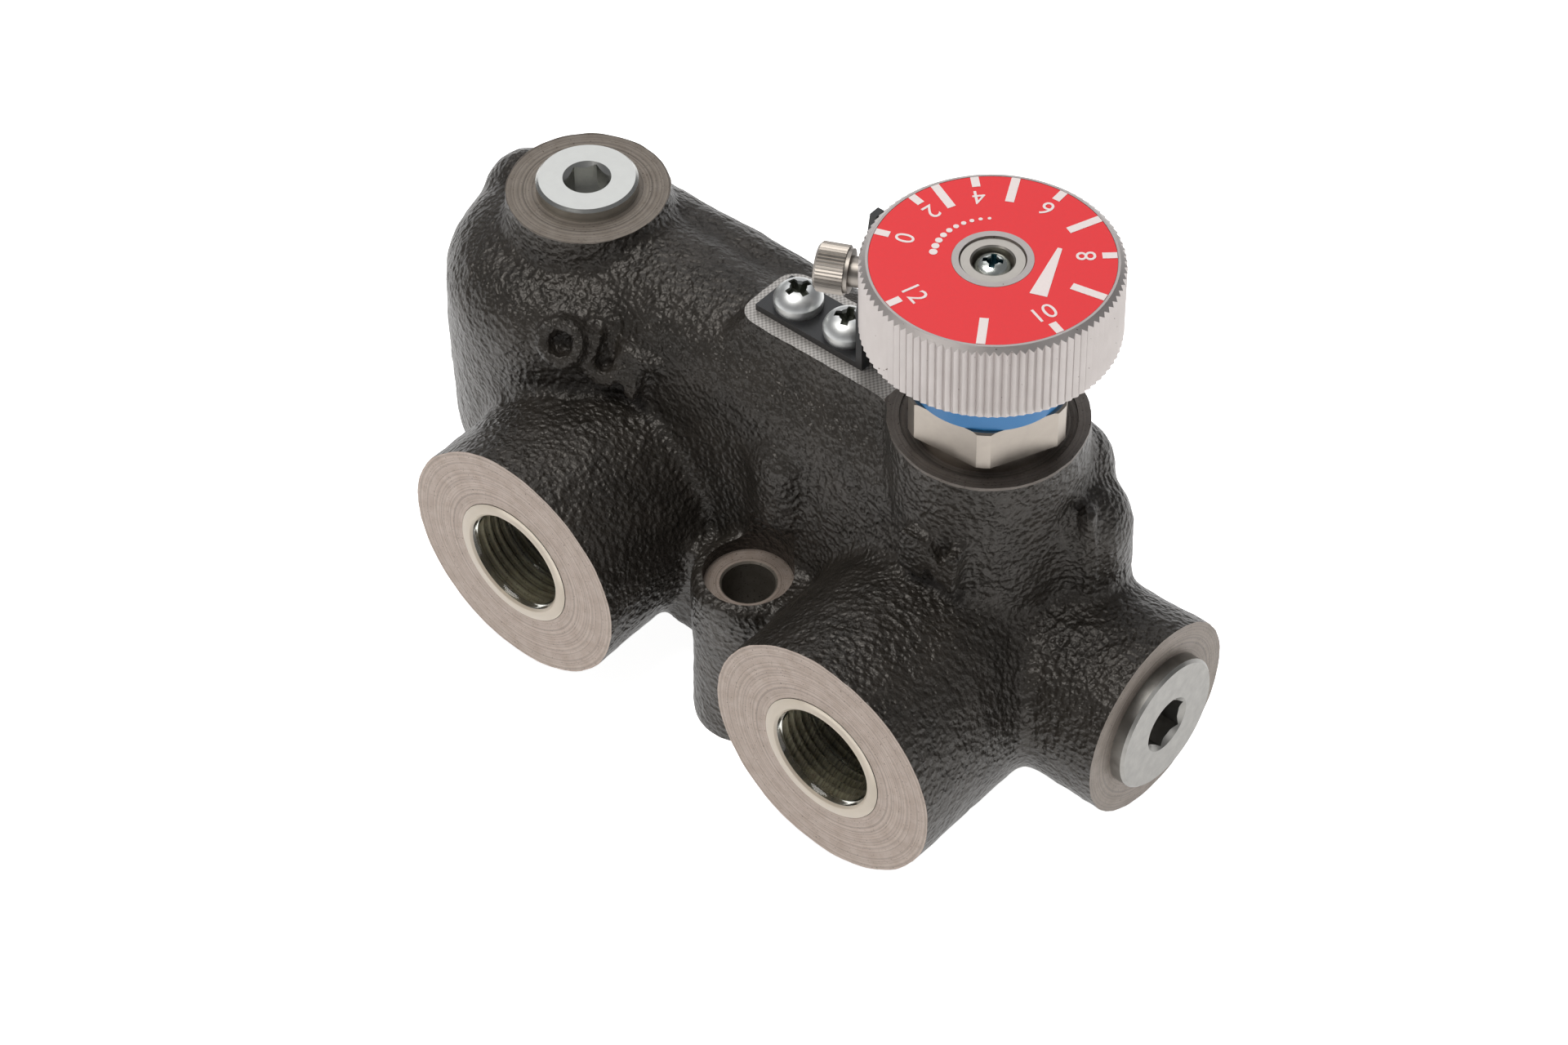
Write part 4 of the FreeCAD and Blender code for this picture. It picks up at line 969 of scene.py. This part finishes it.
def coil_spring(node):
    """Wire section swept round the long bore's axis."""
    low, high = corners(node)
    wire_x = low.x + SPRING_WIRE_R
    coil_r = (high.y - low.y) / 2 - SPRING_WIRE_R
    length = high.x - low.x - 2 * SPRING_WIRE_R
    steps = SPRING_TURNS * SPRING_STEPS_PER_TURN
    deselect()
    bpy.ops.mesh.primitive_circle_add(
        vertices=16, radius=SPRING_WIRE_R * MM, fill_type="NOTHING",
        location=Vector((wire_x, middle(node).y + coil_r, middle(node).z)) * MM)
    spring = settle(bpy.context.active_object)
    bpy.ops.object.mode_set(mode="EDIT")
    bpy.ops.mesh.select_all(action="SELECT")
    for _ in range(steps):
        bpy.ops.mesh.extrude_region_move(TRANSFORM_OT_translate={"value": (length / steps * MM, 0, 0)})
        bpy.ops.transform.rotate(value=math.radians(360 / SPRING_STEPS_PER_TURN), orient_axis="X",
                                 center_override=middle(node) * MM)
    bpy.ops.mesh.select_all(action="DESELECT")
    bpy.ops.mesh.select_non_manifold()
    bpy.ops.mesh.edge_face_add()
    bpy.ops.mesh.select_all(action="SELECT")
    bpy.ops.mesh.normals_make_consistent(inside=False)
    bpy.ops.object.mode_set(mode="OBJECT")
    name_it(spring, "coil_spring")
    smooth_shade(spring, 60)
    spring.data.materials.append(bpy.data.materials["spring_wire"])
    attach(spring, "valve")
    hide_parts(node)
    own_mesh(spring)


# ---------------------------------------------------------------- studio
def softbox(name, place, target, size, power, colour=(1, 1, 1)):
    """Rectangular light at a place, aimed at a target."""
    light = bpy.data.lights.new(name, "AREA")
    light.shape = "RECTANGLE"
    light.size, light.size_y = (s * MM for s in size)
    light.energy = power
    light.color = colour
    obj = bpy.data.objects.new(name, light)
    bpy.context.collection.objects.link(obj)
    obj.location = Vector(place) * MM
    aim = (Vector(target) - Vector(place)).normalized()
    obj.rotation_euler = aim.to_track_quat("-Z", "Y").to_euler()


def studio():
    """Pale floor, even surroundings and three soft lights."""
    deselect()
    bpy.ops.mesh.primitive_plane_add(size=12, location=(0, 0, -0.0002))
    floor = name_it(bpy.context.active_object, "floor")
    pale = Surface("floor_white", (0.86, 0.86, 0.86), 0.9)
    pale.set(Emission_Color=(1, 1, 1, 1), Emission_Strength=0.93)
    floor.data.materials.append(pale.material)
    world = bpy.data.worlds.new("studio")
    world.use_nodes = True
    world.node_tree.nodes["Background"].inputs["Color"].default_value = (0.96, 0.97, 1.0, 1)
    world.node_tree.nodes["Background"].inputs["Strength"].default_value = 0.20
    bpy.context.scene.world = world
    centre = (0, AXIS_Y, 50)
    softbox("key", (-160, -200, 880), centre, (520, 520), 5.0, (1.0, 0.985, 0.96))
    softbox("rear", (-390, 470, 640), centre, (700, 480), 1.25, (0.97, 0.98, 1.0))
    softbox("side", (620, 60, 300), centre, (260, 320), 0.4)
    bpy.context.scene.view_settings.view_transform = "Standard"


# ---------------------------------------------------------------- assemble
body = cast_body()
finish_casting(body)
smooth_shade(body, 40)
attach(body, "valve")
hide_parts("valve_body")
paint_nodes()
dial_print()
clear_cap("clear_cup", (0.90, 0.90, 0.84), 1.0, 0.03, 0.10)
clear_cap("milky_flange", (0.66, 0.57, 0.46), 0.25, 0.26, 0.38)
transit_cap("outlet_cup", "outlet_cap", OUT_X, PORT_FACE_Y, 1)
transit_cap("inlet_cup", "inlet_cap", KNOB_X, PORT_FACE_Y, 1)
transit_cap("bypass_cup", "bypass_cap", OUT_X, BYPASS_FACE_Y, -1)
coil_spring("compensator_spring")
studio()

# ---------------------------------------------------------------- camera
camera_data = bpy.data.cameras.new("camera")
camera_data.lens = 100.33
camera_data.sensor_width = 36
camera = bpy.data.objects.new("camera", camera_data)
bpy.context.collection.objects.link(camera)
CAMERA_AZIMUTH, CAMERA_ELEVATION, CAMERA_ROLL = (math.radians(a) for a in (41.553, 45.756, -1.175))
camera_place = Vector((KNOB_X + 367.8, AXIS_Y - 474.8, KNOB_TOP_Z + 546.4)) * MM
back = Vector((math.sin(CAMERA_AZIMUTH) * math.cos(CAMERA_ELEVATION),
               -math.cos(CAMERA_AZIMUTH) * math.cos(CAMERA_ELEVATION), math.sin(CAMERA_ELEVATION)))
level = Vector((math.cos(CAMERA_AZIMUTH), math.sin(CAMERA_AZIMUTH), 0))
rise = back.cross(level)
right = level * math.cos(CAMERA_ROLL) + rise * math.sin(CAMERA_ROLL)
up = rise * math.cos(CAMERA_ROLL) - level * math.sin(CAMERA_ROLL)
camera.matrix_world = Matrix.Translation(camera_place) @ Matrix((right, up, back)).transposed().to_4x4()
bpy.context.scene.camera = camera
